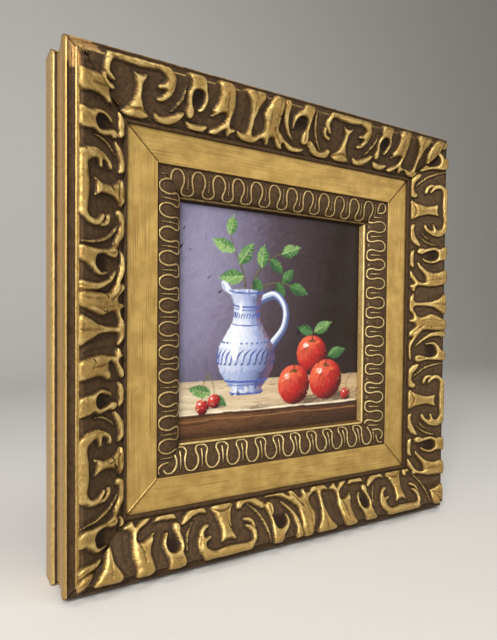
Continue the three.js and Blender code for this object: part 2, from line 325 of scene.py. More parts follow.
# Thinner gilded ribs, as strokes of [u, v, width]: (stations, height)
STROKES = [
    ([(26.2, 8.5, 0.5), (25.7, 13.4, 1.3), (23.4, 18.6, 1.3), (19.6, 23.6, 0.5)], 1.4),
    ([(-28.9, 3.2, 0.7), (-28.1, 9.3, 1.5), (-25.6, 16.8, 1.7), (-21.7, 22.6, 1.5), (-18.2, 26.4, 0.7)], 1.5),
]
SHORT_RIB = ([(21.8, 15.0, 0.4), (20.0, 18.6, 1.0), (16.0, 22.0, 0.4)], 1.0)
JOIN = ([(-31.4, 21.6, 3.2), (-29.6, 23.6, 2.6), (-27.4, 25.4, 3.0)], 1.9)
# Toned leaf lobes in the ground: soft swellings, [u, v, width]: (stations, height)
LOBES = [
    ([(22.5, 2.0, 6.0), (23.4, 9.0, 6.0), (21.2, 16.0, 6.0), (15.5, 23.0, 5.0)], 1.1),
    ([(-24.2, 2.0, 7.0), (-24.4, 10.0, 7.0), (-21.4, 17.5, 6.5), (-15.8, 23.4, 5.0)], 1.1),
    ([(42.0, 2.0, 4.6), (43.4, 9.0, 5.0), (41.4, 16.0, 4.6), (36.0, 23.6, 4.0)], 1.0),
    ([(-44.0, 2.0, 5.0), (-47.0, 9.0, 4.6), (-44.6, 17.0, 4.6), (-38.2, 24.6, 3.6)], 1.0),
    ([(60.2, 1.0, 4.6), (63.0, 8.0, 7.4), (64.4, 16.0, 7.4), (63.4, 23.0, 6.0)], 1.4),
    ([(-65.6, 1.0, 4.4), (-69.0, 8.0, 5.6), (-70.0, 16.0, 5.6), (-69.0, 23.0, 4.4)], 1.3),
    ([(46.6, 24.6, 2.6), (50.2, 21.4, 3.6), (53.0, 19.6, 1.6)], 0.7),
]
# Deep hollows: (u, v, radius u, radius v, depth)
HOLLOWS = [
    (34.2, 13.8, 4.3, 5.4, 2.6),
    (34.4, 20.4, 1.7, 3.4, 1.2),
    (-38.9, 14.0, 5.0, 5.4, 2.6),
    (-38.8, 20.8, 2.6, 3.0, 0.9),
    (-15.0, 21.4, 2.6, 1.2, 0.9),
    (11.8, 9.6, 1.6, 1.2, 1.0),
    (12.6, 15.4, 1.5, 1.0, 0.9),
    (-16.2, 15.4, 1.4, 0.8, 0.7),
]
# Creases cut into the leaves: (stations, depth)
CREASES = [
    ([(-6.6, 28.6, 0.5), (-3.4, 26.5, 0.7), (0.0, 25.8, 0.7), (3.2, 26.4, 0.7), (6.2, 28.1, 0.5)], 0.8),
    ([(52.0, 7.0, 0.4), (52.8, 13.0, 0.6), (55.0, 20.0, 0.5)], 0.4),
    ([(-58.0, 19.0, 0.4), (-55.6, 22.6, 0.7), (-51.6, 27.4, 0.5)], 0.7),
    ([(-61.6, 6.0, 0.4), (-62.4, 13.0, 0.6), (-61.2, 21.0, 0.4)], 0.35),
    ([(-57.2, 4.0, 0.4), (-57.4, 11.0, 0.5), (-56.6, 17.0, 0.4)], 0.3),
    ([(71.2, 4.0, 0.4), (71.2, 12.0, 0.6), (71.2, 24.0, 0.5)], 0.35),
    ([(-33.0, 16.6, 0.4), (-32.8, 20.2, 0.9), (-32.8, 23.0, 0.5)], 0.7),
    ([(17.4, 4.6, 0.4), (18.4, 9.0, 0.5), (17.0, 13.8, 0.4)], 0.35),
    ([(-51.6, 3.0, 0.3), (-51.4, 8.0, 0.5), (-50.6, 13.0, 0.3)], 0.3),
]


def carved_repeat(side):
    """The repeat as fields over (u, v): height above the ground in mm, signed distance into the
    gilding in mm, painted shade and toning in hollows and beside the gilding (0..1), how far above its surroundings in
    mm, which sets a painted highlight."""
    r = Raster(-72.5, 72.5, -1.0, 34.0, 0.2, PERIOD)
    power = 6.0
    grow = 0.15
    total = r.blank(0.0)
    gild = r.blank(-6.0)
    for shape, height, radius in outlines(side):
        sd = outline_sdf(r, shape) - grow
        gild = np.maximum(gild, -sd)
        inner = np.clip(-sd / radius, 0, 1)
        crown = np.clip(-sd / 4.5, 0, 1)
        h = height * (0.82 * np.sqrt(1 - (1 - inner) ** 2) ** 0.9 + 0.18 * crown * (2 - crown))
        foot = 0.16 * height * np.clip(1 - sd / 0.7, 0, 1) ** 2 * (sd > 0)
        total += np.maximum(np.maximum(h, foot), 0) ** power
    strokes = list(STROKES)
    if side == "right":
        strokes.append(SHORT_RIB)
    else:
        strokes.append(JOIN)
    for stations, height in strokes:
        sd = stroke_sdf(r, stations) - 0.5 * grow
        gild = np.maximum(gild, -sd)
        inner = np.clip((0.55 - sd) / 1.2, 0, 1)
        total += (height * np.sin(inner * math.pi / 2) ** 1.3) ** power
    down_slope = smoothstep(r.v, 3.5, 8.0) * (1 - 0.12 * smoothstep(r.v, 25.0, 30.0))
    sharp = total ** (1 / power) * (0.80 + 0.20 * down_slope)[:, None]
    soft = r.blur(np.clip(sharp / 2.2, 0, 1), 1.5)
    lobes = r.blank(0.0)
    for stations, height in LOBES:
        field = r.blank(0.0)
        for u, v, w in catmull(stations, 10):
            i, j, uu, vv = r.window(u - w, u + w, v - w, v + w)
            d2 = ((uu - u) ** 2 + (vv - v) ** 2) / (w / 2) ** 2
            field[i, j] = np.maximum(field[i, j], np.clip(1 - d2, 0, 1) ** 0.75)
        lobes = np.maximum(lobes, height * field)
    lobes = r.blur(lobes, 0.5)
    hollow = r.blank(0.0)
    for u, v, ru, rv, depth in HOLLOWS:
        i, j, uu, vv = r.window(u - 2 * ru, u + 2 * ru, v - 2 * rv, v + 2 * rv)
        d = np.sqrt(((uu - u) / ru) ** 2 + ((vv - v) / rv) ** 2)
        hollow[i, j] = np.maximum(hollow[i, j], depth * np.clip(1.15 - d**2, 0, 1) ** 0.9)
    crease = r.blank(0.0)
    for stations, depth in CREASES:
        sd = stroke_sdf(r, stations, 2.0)
        crease = np.maximum(crease, depth * np.exp(-((np.maximum(sd, 0) / 0.45) ** 2)))
    outside = np.clip(-gild, 0, 6)
    undercut = 0.5 * np.exp(-(((outside - 0.9) / 0.8) ** 2)) * (gild < 0)
    ground = -0.8 + 1.0 * soft + lobes * np.clip(outside / 1.4, 0, 1) - undercut
    body = np.maximum(ground - hollow * (1 - np.clip(sharp / 1.4, 0, 1)), sharp + 0.25 * soft)
    body = body - crease * np.clip(sharp, 0, 1)
    # high spots, which get a painted highlight on the gold; low spots get painted shade
    highlight_and_shade = body - r.blur(body, 1.3)
    # painted shade: darkest in the upper part of each hollow, under its arch, and in a band just outside the gilding;
    # toning gathers there too
    hollow_shade = hollow * np.clip(1.25 - (r.v[:, None] - 10.0) / 12.0, 0.25, 1.0)
    shade_and_toning = np.clip(hollow_shade / 2.6 * (gild < 0.2) + 0.7 * np.exp(-((outside / 1.2) ** 2)) * (gild < 0), 0, 1)
    return r, body, gild, shade_and_toning, highlight_and_shade


def wander(seed, u, v, scale):
    """A smooth wander of about -1..1 over (u, v)."""
    g = rng(seed)
    total = np.zeros(np.broadcast(u, v).shape)
    for _ in range(5):
        a, b = g.uniform(-1, 1, 2) / scale
        total = total + np.sin(a * u * 6.28 + b * v * 6.28 + g.uniform(0, 6.28))
    return total / 2.6


# ------------------------------------------------------------------ mesh building


def place(side, u, a, d):
    """(u, A, D) in mm to the row frame in metres."""
    x, z = {
        "top": (u, a),
        "right": (a, -u),
        "bottom": (-u, -a),
        "left": (-a, u),
    }[side]
    return np.stack([x * MM, -d * MM, (z - MOUNT_A) * MM], -1)


def rounded(profile, radius, steps=2, closed=True):
    """A profile with each corner replaced by a small arc; radius may be a list."""
    p = np.asarray(profile, float)
    n = len(p)
    radii = [radius] * n if np.isscalar(radius) else list(radius)
    out, owner = [], []
    for i in range(n):
        a, b, c = p[i - 1], p[i], p[(i + 1) % n]
        ab, cb = a - b, c - b
        la, lc = np.linalg.norm(ab), np.linalg.norm(cb)
        r = min(radii[i], 0.45 * la, 0.45 * lc)
        if r < 0.02:
            out.append(b)
            owner.append(i)
            continue
        for k in range(steps + 1):
            t = k / steps
            q0, q1 = b + ab / la * r, b + cb / lc * r
            out.append((1 - t) ** 2 * q0 + 2 * t * (1 - t) * b + t * t * q1)
            owner.append(i)
    return np.array(out), owner


def split(p, q, spacing):
    """Points from p to q, without q, at about that spacing."""
    p, q = np.asarray(p, float), np.asarray(q, float)
    n = max(1, int(math.ceil(np.linalg.norm(q - p) / spacing)))
    return [p + (q - p) * k / n for k in range(n)]


def stitched(rows, counts, ratio):
    """Faces over rows of vertices whose counts are either fine or fine / ratio (plus one)."""
    starts = np.concatenate([[0], np.cumsum(counts)])
    faces = []
    n = len(rows)
    for i in range(n):
        j = (i + 1) % n
        a, b = starts[i], starts[j]
        ca, cb = counts[i], counts[j]
        if ca == cb:
            k = np.arange(ca - 1)
            faces.append(np.stack([a + k, b + k, b + k + 1, a + k + 1], 1))
        else:
            fine_first = ca > cb
            f, c = (a, b) if fine_first else (b, a)
            nc = min(ca, cb) - 1
            quads = []
            for m in range(nc):
                mid = ratio // 2
                tri = [(c + m, f + m * ratio + s, f + m * ratio + s + 1) for s in range(mid)]
                tri.append((c + m, f + m * ratio + mid, c + m + 1))
                tri += [
                    (c + m + 1, f + m * ratio + s, f + m * ratio + s + 1)
                    for s in range(mid, ratio)
                ]
                for t in tri:
                    t = t if not fine_first else (t[0], t[2], t[1])
                    quads.append((t[0], t[1], t[2], -1))
            faces.append(np.array(quads))
    return faces


def build_mesh(name, points, polygons, caps, flip, material_of=None):
    """A mesh object from points (N, 3), a list of face arrays (-1 pads a triangle) and end caps."""
    loops, starts, totals, owners = [], [], [], []
    at = 0
    for g, block in enumerate(polygons):
        if block.shape[1] == 4 and (block[:, 3] < 0).any():
            tri = block[:, :3]
            seq = tri[:, ::-1] if flip else tri
            loops.append(seq.reshape(-1))
            starts.append(at + 3 * np.arange(len(seq)))
            totals.append(np.full(len(seq), 3))
            at += 3 * len(seq)
        else:
            seq = block[:, ::-1] if flip else block
            w = seq.shape[1]
            loops.append(seq.reshape(-1))
            starts.append(at + w * np.arange(len(seq)))
            totals.append(np.full(len(seq), w))
            at += w * len(seq)
        owners.append(np.full(len(starts[-1]), g))
    for k, cap in enumerate(caps):
        seq = np.array(cap)
        loops.append(seq[::-1] if (flip != bool(k)) else seq)
        starts.append(np.array([at]))
        totals.append(np.array([len(seq)]))
        at += len(seq)
        owners.append(np.array([-1]))
    loops = np.concatenate(loops).astype(np.int32)
    starts = np.concatenate(starts).astype(np.int32)
    owners = np.concatenate(owners)
    me = bpy.data.meshes.new(name)
    me.vertices.add(len(points))
    me.vertices.foreach_set("co", np.asarray(points, np.float32).ravel())
    me.loops.add(len(loops))
    me.loops.foreach_set("vertex_index", loops)
    me.polygons.add(len(starts))
    me.polygons.foreach_set("loop_start", starts)
    me.update(calc_edges=True)
    me.validate()
    smooth = owners >= 0
    me.polygons.foreach_set("use_smooth", smooth)
    if material_of is not None:
        me.polygons.foreach_set(
            "material_index", np.array([material_of(o) if o >= 0 else 0 for o in owners], np.int32)
        )
    me.update()
    ob = bpy.data.objects.new(name, me)
    bpy.context.scene.collection.objects.link(ob)
    return ob


def attribute(ob, name, values):
    values = np.asarray(values, np.float32)
    kind = "FLOAT" if values.ndim == 1 else "FLOAT_VECTOR"
    at = ob.data.attributes.new(name, kind, "POINT")
    at.data.foreach_set("value" if kind == "FLOAT" else "vector", values.ravel())


def signed_volume(points, blocks):
    total = 0.0
    for block in blocks:
        a = points[block[:, 0]]
        for k in range(1, block.shape[1] - 1):
            ok = block[:, k + 1] >= 0
            b, c = points[block[:, k]], points[block[:, k + 1]]
            total += (np.einsum("ij,ij->i", a, np.cross(b, c)) * ok).sum()
    return total


# ------------------------------------------------------------------ carved mouldings

CREST = np.array([135.2, 43.9])
TOE = np.array([110.9, 31.0])
SLOPE = (CREST - TOE) / np.linalg.norm(CREST - TOE)  # up the slope, in (A, D)
OUT = np.array([-SLOPE[1], SLOPE[0]])  # away from the ground, in (A, D)
V_ZERO_A = 138.0
FINE, RATIO = 630, 6


def outer_rows():
    """The start of the outer moulding's section, from the rebate's rear corner, as rows of (A, D, kind, fine).
    kind: 0 back and rebate, 1 rear band and cove and lip, 2 bead and wall, 3 carved slope, 4 toe and fillet."""
    rows = []

    def add(points, kind, fine):
        for a, d in points:
            rows.append([a, d, kind, fine])

    coarse, _ = rounded(
        [
            (114.0, 0.0), (144.4, 0.0), (145.0, 0.6), (145.0, 13.2), (144.6, 15.2), (143.8, 16.3),
            (142.4, 16.6), (141.9, 19.5), (142.0, 23.5), (142.6, 29.5), (143.1, 34.0), (143.0, 36.9),
            (142.3, 38.8), (141.4, 39.3), (140.6, 38.5), (138.3, 38.5), (137.8, 39.8), (136.4, 40.1),
        ],
        0.35, 2,
    )
    # start at the rebate's rear corner, leave out the last corner, which the fine rows make
    section = [tuple(p) for p in coarse]
    dense = []
    for i, p in enumerate(section[:-3]):
        q = section[i + 1]
        length = math.hypot(q[0] - p[0], q[1] - p[1])
        step = 1.6 if q[1] > 2 else 8.0
        dense += split(p, q, step) if length > step else [np.array(p)]
    for a, d in dense:
        back = d < 0.05
        rows.append([a, d, 0 if back else 1, 0])
    return rows


def carved_moulding(side, repeat, materials):
    raster, height, gild, shade_and_toning, highlight_and_shade = repeat
    phase = PHASE[side] + PERIOD / 2
    drop = DROP[side]
    seed = SIDES.index(side) * 17 + 3
    flaws = Raster(-100.0, 100.0, 0.0, 34.0, 0.2)
    crack = flaws.blank(2.0)
    for stations in CRACKS[side]:
        crack = np.minimum(crack, stroke_sdf(flaws, stations, 2.0))
    # how much painted light each length gets: the left one most, the bottom one least, in painted shade
    painted_light = {"left": 1.0, "right": 0.55, "top": 0.45, "bottom": 0.1}[side]
    rows = outer_rows()
    # bead and wall, then the crest's round, the slope, the toe, the fillet, the inner edge
    path = [
        np.array([138.3, 38.5]), np.array([137.95, 39.3]), np.array([137.5, 39.85]),
        np.array([136.9, 40.15]), np.array([136.3, 40.1]), np.array([135.95, 39.95]),
        np.array([135.75, 40.2]),
    ]
    wall = split(path[-1], (135.35, 42.9), 0.45)
    crest = [
        np.array([135.35, 42.9]), np.array([135.15, 43.3]), np.array([134.85, 43.55]),
        np.array([134.45, 43.62]),
    ]
    slope = split(crest[-1] - SLOPE * 0.3, TOE + SLOPE * 0.5, 0.43)
    toe = [
        TOE + SLOPE * 0.5, TOE + SLOPE * 0.18, np.array([110.75, 31.0]), np.array([110.5, 31.05]),
        np.array([110.3, 31.3]), np.array([110.15, 31.65]), np.array([109.95, 31.85]),
        np.array([109.6, 31.92]), np.array([109.0, 31.9]), np.array([108.5, 31.85]),
        np.array([108.15, 31.7]), np.array([108.02, 31.4]),
    ]
    for p in path + wall:
        rows.append([p[0], p[1], 2, 1])
    for p in crest + slope:
        rows.append([p[0], p[1], 3, 1])
    for p in toe:
        rows.append([p[0], p[1], 4, 1])
    rows += [[108.0, 30.9, 4, 0], [108.0, 30.0, 4, 0]]
    for p in [(110.0, 30.0), (113.9, 30.0), (114.0, 29.9), (114.0, 20.0), (114.0, 10.0), (114.0, 0.1)]:
        rows.append([p[0], p[1], 5, 0])
    sec = np.array([[r[0], r[1]] for r in rows], float)
    kind = np.array([r[2] for r in rows])
    fine = np.array([r[3] for r in rows])
    n = len(rows)
    # outward direction in (A, D) from the neighbouring rows
    tangent = np.roll(sec, -1, 0) - np.roll(sec, 1, 0)
    tangent /= np.linalg.norm(tangent, axis=1)[:, None]
    normal = np.stack([tangent[:, 1], -tangent[:, 0]], 1)
    if normal[np.argmax(sec[:, 0])][0] < 0:
        normal = -normal
    # smooth the normals over the crest so the relief doesn't fold
    for _ in range(4):
        m = (np.roll(normal, 1, 0) + 2 * normal + np.roll(normal, -1, 0)) / 4
        sel = (kind == 2) | (kind == 3)
        normal[sel] = m[sel] / np.linalg.norm(m[sel], axis=1)[:, None]
    # v down the slope; above the crest it runs on over the wall
    v_slope = (V_ZERO_A - sec[:, 0]) / SLOPE[0]
    crest_row = int(np.argmax(kind == 3))
    arc = np.concatenate([[0], np.cumsum(np.linalg.norm(np.diff(sec, axis=0), axis=1))])
    v = v_slope.copy()
    above = np.arange(n) < crest_row + 4
    v[above] = v_slope[crest_row + 4] - (arc[crest_row + 4] - arc[above])
    pts, G, H, SHADE_AND_TONING, HIGHLIGHT_AND_SHADE, RAIL, TONE, MITRE, counts = [], [], [], [], [], [], [], [], []
    for i in range(n):
        cols = FINE + 1 if fine[i] else FINE // RATIO + 1
        t = np.linspace(-1, 1, cols)
        a0, d0 = sec[i]
        u = t * (a0 - GAP)
        h = np.zeros(cols)
        g = np.full(cols, 2.5)
        row_shade_and_toning = np.zeros(cols)
        row_highlight_and_shade = np.zeros(cols)
        tone = np.zeros(cols)
        if kind[i] in (2, 3):
            wu = u + 0.45 * wander(seed, u, v[i], 60.0) + 0.16 * wander(seed + 10, u, v[i], 6.5)
            wv = v[i] - drop + 0.3 * wander(seed + 1, u, v[i], 50.0) + 0.14 * wander(seed + 11, u, v[i], 5.5)
            wv = wv - SAG[side] * smoothstep(wv, 3.5, 10.0) * (1 - smoothstep(wv, 19.0, 29.0))
            us = wu - phase
            vs = np.maximum(wv, 3.0)
            h = raster.sample(height, us, vs)
            g = raster.sample(gild, us, vs)
            row_shade_and_toning = raster.sample(shade_and_toning, us, vs)
            row_highlight_and_shade = raster.sample(highlight_and_shade, us, vs)
            h = h + 0.10 * wander(seed + 12, u, v[i], 4.2) * np.clip(0.4 + 0.5 * g, 0.4, 1.0)
            cut = np.exp(-((np.maximum(flaws.sample(crack, u, np.full(cols, v[i])), 0) / 0.3) ** 2)) * (np.abs(u) < 99)
            h = h - 0.18 * cut
            g = g - 3.0 * cut * (g > 0)
            row_shade_and_toning = np.maximum(row_shade_and_toning, 0.9 * cut)
            down = np.clip(3.0 - wv, 0, None)
            band = down - {"left": 1.9, "right": 2.6, "top": 2.2, "bottom": 2.2}[side]
            band = band + 0.5 * wander(seed + 8, u, 0 * u + v[i], 8.0)
            near = np.maximum(2.4 - np.abs(g - band), 0)
            g = np.maximum(g, band) + near**2 / 9.6 * (down > 0)
            fade = np.clip(1 - down / 4.6, 0, 1)
            h = np.where(down > 0, (h + 0.3) * fade * (0.3 + 0.7 * fade) - 0.1 * fade, h)
            # duller near the crest on the lengths that get less painted light
            tone = 0.5 * (1 - painted_light) * smoothstep(down, 0.3, 2.0)
            if kind[i] == 3 and v[i] > 30.4:
                toe_fade = np.clip((31.6 - v[i]) / 1.0, 0, 1)
                base = -0.25 * (1 - toe_fade)
                h = base + (h - base) * toe_fade
            # painted shade towards the toe
            if kind[i] == 3 and v[i] > 30.0:
                row_shade_and_toning = np.maximum(row_shade_and_toning, 0.35 * min(1.0, (v[i] - 30.0) / 1.4))
            # bead: gilding with a painted highlight, more gilt and less dull on the better lit lengths, painted shade
            # on the bottom one; a brown line behind it
            if kind[i] == 2 and a0 > 135.9:
                h = np.zeros(cols)
                g = 0.7 + 1.2 * painted_light + 0.45 * wander(seed + 2, u, 0 * u, 9.0)
                tone = np.full(cols, 0.1 + 0.3 * (1 - painted_light))
                row_highlight_and_shade = np.full(cols, (0.35 if a0 < 137.6 else 0.0) - (0.45 if side == "bottom" else 0.0))
                if a0 > 138.1:
                    g = np.full(cols, -0.9)
                elif a0 > 137.7:
                    g = np.full(cols, 0.3)
                    tone = np.full(cols, 1.0)
        # toe and fillet: painted shade, with a brownish stripe on the fillet
        if kind[i] == 4:
            h = 0.06 * wander(seed + 4, u, 0 * u + v[i], 11.0)
            g = np.full(cols, -2.4)
            row_shade_and_toning = np.full(cols, 0.45 if a0 > 110.1 or a0 < 108.1 else 0.3)
            if 109.3 < a0 < 110.0:
                g = np.full(cols, -0.55)
        if kind[i] == 1:
            # rear band, cove and lip: how much gilding is left, and how pink and dull it is; painted shade in the
            # groove, painted highlight on the rear band and the front strip, painted shadow in the undercut, toning
            # mixed with painted shade in the cove, and painted light and shade on the lip that differs by length
            if d0 > 37.5 and a0 < 141.45:
                g = -1.5 + 0.5 * wander(seed + 9, u, 0 * u + a0, 16.0)
                row_shade_and_toning = np.full(cols, 0.3)
            elif d0 <= 13.0:
                g = np.full(cols, 1.2)
                tone = np.full(cols, 0.85)
                row_highlight_and_shade = np.full(cols, 0.25)
            elif d0 <= 16.4:
                g = np.full(cols, 1.6)
                tone = np.full(cols, 0.25)
                row_highlight_and_shade = np.full(cols, 0.45)
            # painted shadow in the undercut below the front strip
            elif d0 < 16.95 and a0 < 143.2:
                g = np.full(cols, -2.2)
                row_shade_and_toning = np.full(cols, 0.6)
            # cove: toning and painted shade, lightening up its rise
            elif a0 < 142.95 and d0 < 34:
                s = min(max((d0 - 17.0) / 12.0, 0), 1)
                g = np.full(cols, 0.25 + 1.6 * s)
                tone = np.full(cols, 1.0 - 0.15 * s)
                row_highlight_and_shade = np.full(cols, -0.3 + 0.6 * s)
            # lip: painted light and shade that differs by length
            else:
                g = np.full(cols, {"left": 1.6, "right": 0.9, "top": 0.25, "bottom": -0.5}[side])
                tone = np.full(cols, {"left": 0.3, "right": 0.5, "top": 0.8, "bottom": 0.4}[side])
                row_highlight_and_shade = np.full(cols, 0.1 if d0 < 38.9 else 0.3)
            h = 0.05 * wander(seed + 5, u, 0 * u + d0, 14.0)
            if d0 < 13:
                h = np.minimum(h - 0.06, 0)
        if kind[i] in (0, 5):
            g = np.full(cols, -9.0)
        if side in ("top", "left") and kind[i] in (1, 2) and d0 > 36:
            corner = (a0 + u) if side == "top" else (a0 - u)
            patch = 1 - smoothstep(corner + 2.0 * wander(seed + 6, u, 0 * u + a0, 7.0), 10.0, 15.0)
            g = np.where(patch > 0.5, np.maximum(g, 0.6), g)
            tone = np.maximum(tone, 0.7 * patch)
        a = a0 + normal[i][0] * h
        d = d0 + normal[i][1] * h
        a = np.clip(a, 107.9, 144.999)
        d = np.clip(d, 0.0, 46.40)
        uu = t * (a - GAP)
        pts.append(place(side, uu, a, d))
        G.append(g)
        H.append(h)
        SHADE_AND_TONING.append(row_shade_and_toning)
        HIGHLIGHT_AND_SHADE.append(row_highlight_and_shade)
        TONE.append(tone)
        RAIL.append(np.stack([uu, np.full(cols, arc[i]), d], 1))
        MITRE.append((1 - np.abs(t)) * a0)
        counts.append(cols)
    points = np.concatenate(pts)
    faces = stitched(rows, counts, RATIO)
    flip = signed_volume(points, faces) < 0
    starts = np.concatenate([[0], np.cumsum(counts)])[:-1]
    cap0 = [int(s) for s in starts]
    cap1 = [int(s + c - 1) for s, c in zip(starts, counts)]

    def material_of(owner):
        k, nxt = kind[owner], kind[(owner + 1) % n]
        return 1 if k in (0, 5) or nxt in (0, 5) else 0

    ob = build_mesh("carved_frame_" + side, points, faces, [cap0, cap1], flip, material_of)
    attribute(ob, "gild", np.concatenate(G))
    attribute(ob, "highlight_and_shade", np.concatenate(HIGHLIGHT_AND_SHADE))
    attribute(ob, "shade_and_toning", np.concatenate(SHADE_AND_TONING))
    attribute(ob, "tone", np.concatenate(TONE))
    attribute(ob, "mitre", np.concatenate(MITRE))
    attribute(ob, "rail", np.concatenate(RAIL) + np.array([SIDES.index(side) * 400.0, 0, 0]))
    for m in materials:
        ob.data.materials.append(m)
    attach(ob, "root")
    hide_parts("carved_moulding_" + side)
    return ob


# ------------------------------------------------------------------ liner with its looped strip

LOOPS = {
    "top": [-77.4, -63.8, -50.2, -37.0, -23.5, -9.75, 3.75, 17.2, 30.7, 44.5, 58.1, 71.7],
    "right": [-71.2, -57.2, -43.5, -29.9, -15.3, -1.1, 12.9, 26.7, 40.6, 54.3, 68.4],
    "bottom": [-72.8, -58.8, -45.0, -30.8, -16.8, -3.0, 10.8, 24.9, 38.9, 53.3, 67.5],
    "left": [-72.4, -58.7, -45.0, -31.2, -17.7, -4.0, 9.5, 23.0, 36.8, 50.5, 64.3, 77.9],
}
LEAN = {"top": 0.03, "right": 0.0, "bottom": -0.04, "left": 0.0}
GIRTH = {"top": 1.06, "right": 0.96, "bottom": 1.08, "left": 1.04}
BARS = {
    "top": ((6.0, 0.4), (9.5, 0.6), (13.0, 0.65), (15.6, 0.8)),
    "right": ((7.4, 0.35), (10.5, 0.65), (13.6, 0.95), (16.6, 0.95)),
    "bottom": ((6.4, 0.5), (9.5, 0.75), (13.0, 1.0), (16.9, 1.1)),
    "left": ((5.9, 0.5), (9.5, 0.8), (13.6, 0.85), (17.4, 0.8)),
}
# How much painted highlight each length's raised line gets
SHINE = {"top": 0.4, "right": 0.8, "bottom": 0.95, "left": 0.45}
# One arch's right half, from its head to the loop's foot: (u from the arch's middle, distance down)
ARCH = [
    (0.0, 4.8), (1.6, 5.25), (2.95, 6.6), (3.8, 8.6), (4.05, 10.8), (3.8, 12.9), (3.3, 14.6),
    (3.05, 16.2), (3.2, 17.6), (4.0, 18.9), (5.4, 19.6),
]
# The cushioned strip, as in the CAD: edges and crown
STRIP_OUT, STRIP_IN, STRIP_CROWN = (89.2, 28.1), (74.9, 24.0), 2.07


def cushion(t):
    w = t**1.25
    return (
        STRIP_OUT[0] + (STRIP_IN[0] - STRIP_OUT[0]) * t,
        STRIP_OUT[1] + (STRIP_IN[1] - STRIP_OUT[1]) * t + STRIP_CROWN * (4 * w * (1 - w)) ** 0.75,
    )


def loop_strip(side):
    """(raster, signed distance into the raised line) over u and the distance down the section
    from A = 92 on the flat."""
    r = Raster(-96, 96, 2, 24, 0.15)
    centres = LOOPS[side]
    pitch = float(np.mean(np.diff(centres)))
    centres = [centres[0] - 2 * pitch, centres[0] - pitch] + centres + [centres[-1] + pitch, centres[-1] + 2 * pitch]
    line = r.blank(-4.0)
    g = rng(SIDES.index(side) + 40)

    def lean(u, w):
        return u + LEAN[side] * (w - 11.0)

    for k, c in enumerate(centres):
        nxt = (centres[k + 1] - c) if k + 1 < len(centres) else pitch
        prv = (c - centres[k - 1]) if k else pitch
        width = 1.04 + 0.16 * g.random()
        half = [(u * (GIRTH[side] if w < 15 else 1.0), w) for u, w in ARCH]
        right = [(c + u * nxt / 13.8, w) for u, w in half] + [(c + nxt / 2, 19.8)]
        left = [(c - u * prv / 13.8, w) for u, w in half[1:]] + [(c - prv / 2, 19.8)]
        stations = [(lean(u, w), w, width) for u, w in left[::-1] + right]
        line = np.maximum(line, -stroke_sdf(r, stations, 3.0))
        mid = c + nxt / 2
        bar = [(lean(mid, w), w, z) for w, z in BARS[side]]
        line = np.maximum(line, -stroke_sdf(r, bar, 3.0) - 0.05)
    worn = r.blank(0.0)
    for c in centres:
        i, j, uu, vv = r.window(c - 2, c + 2, 16.4, 20.4)
        size = 0.7 + 0.5 * g.random()
        worn[i, j] = np.clip(2.0 - np.hypot((uu - c - 0.5 * g.standard_normal()) / size, (vv - 18.4) / 0.8), 0, 1)
    return r, line, worn


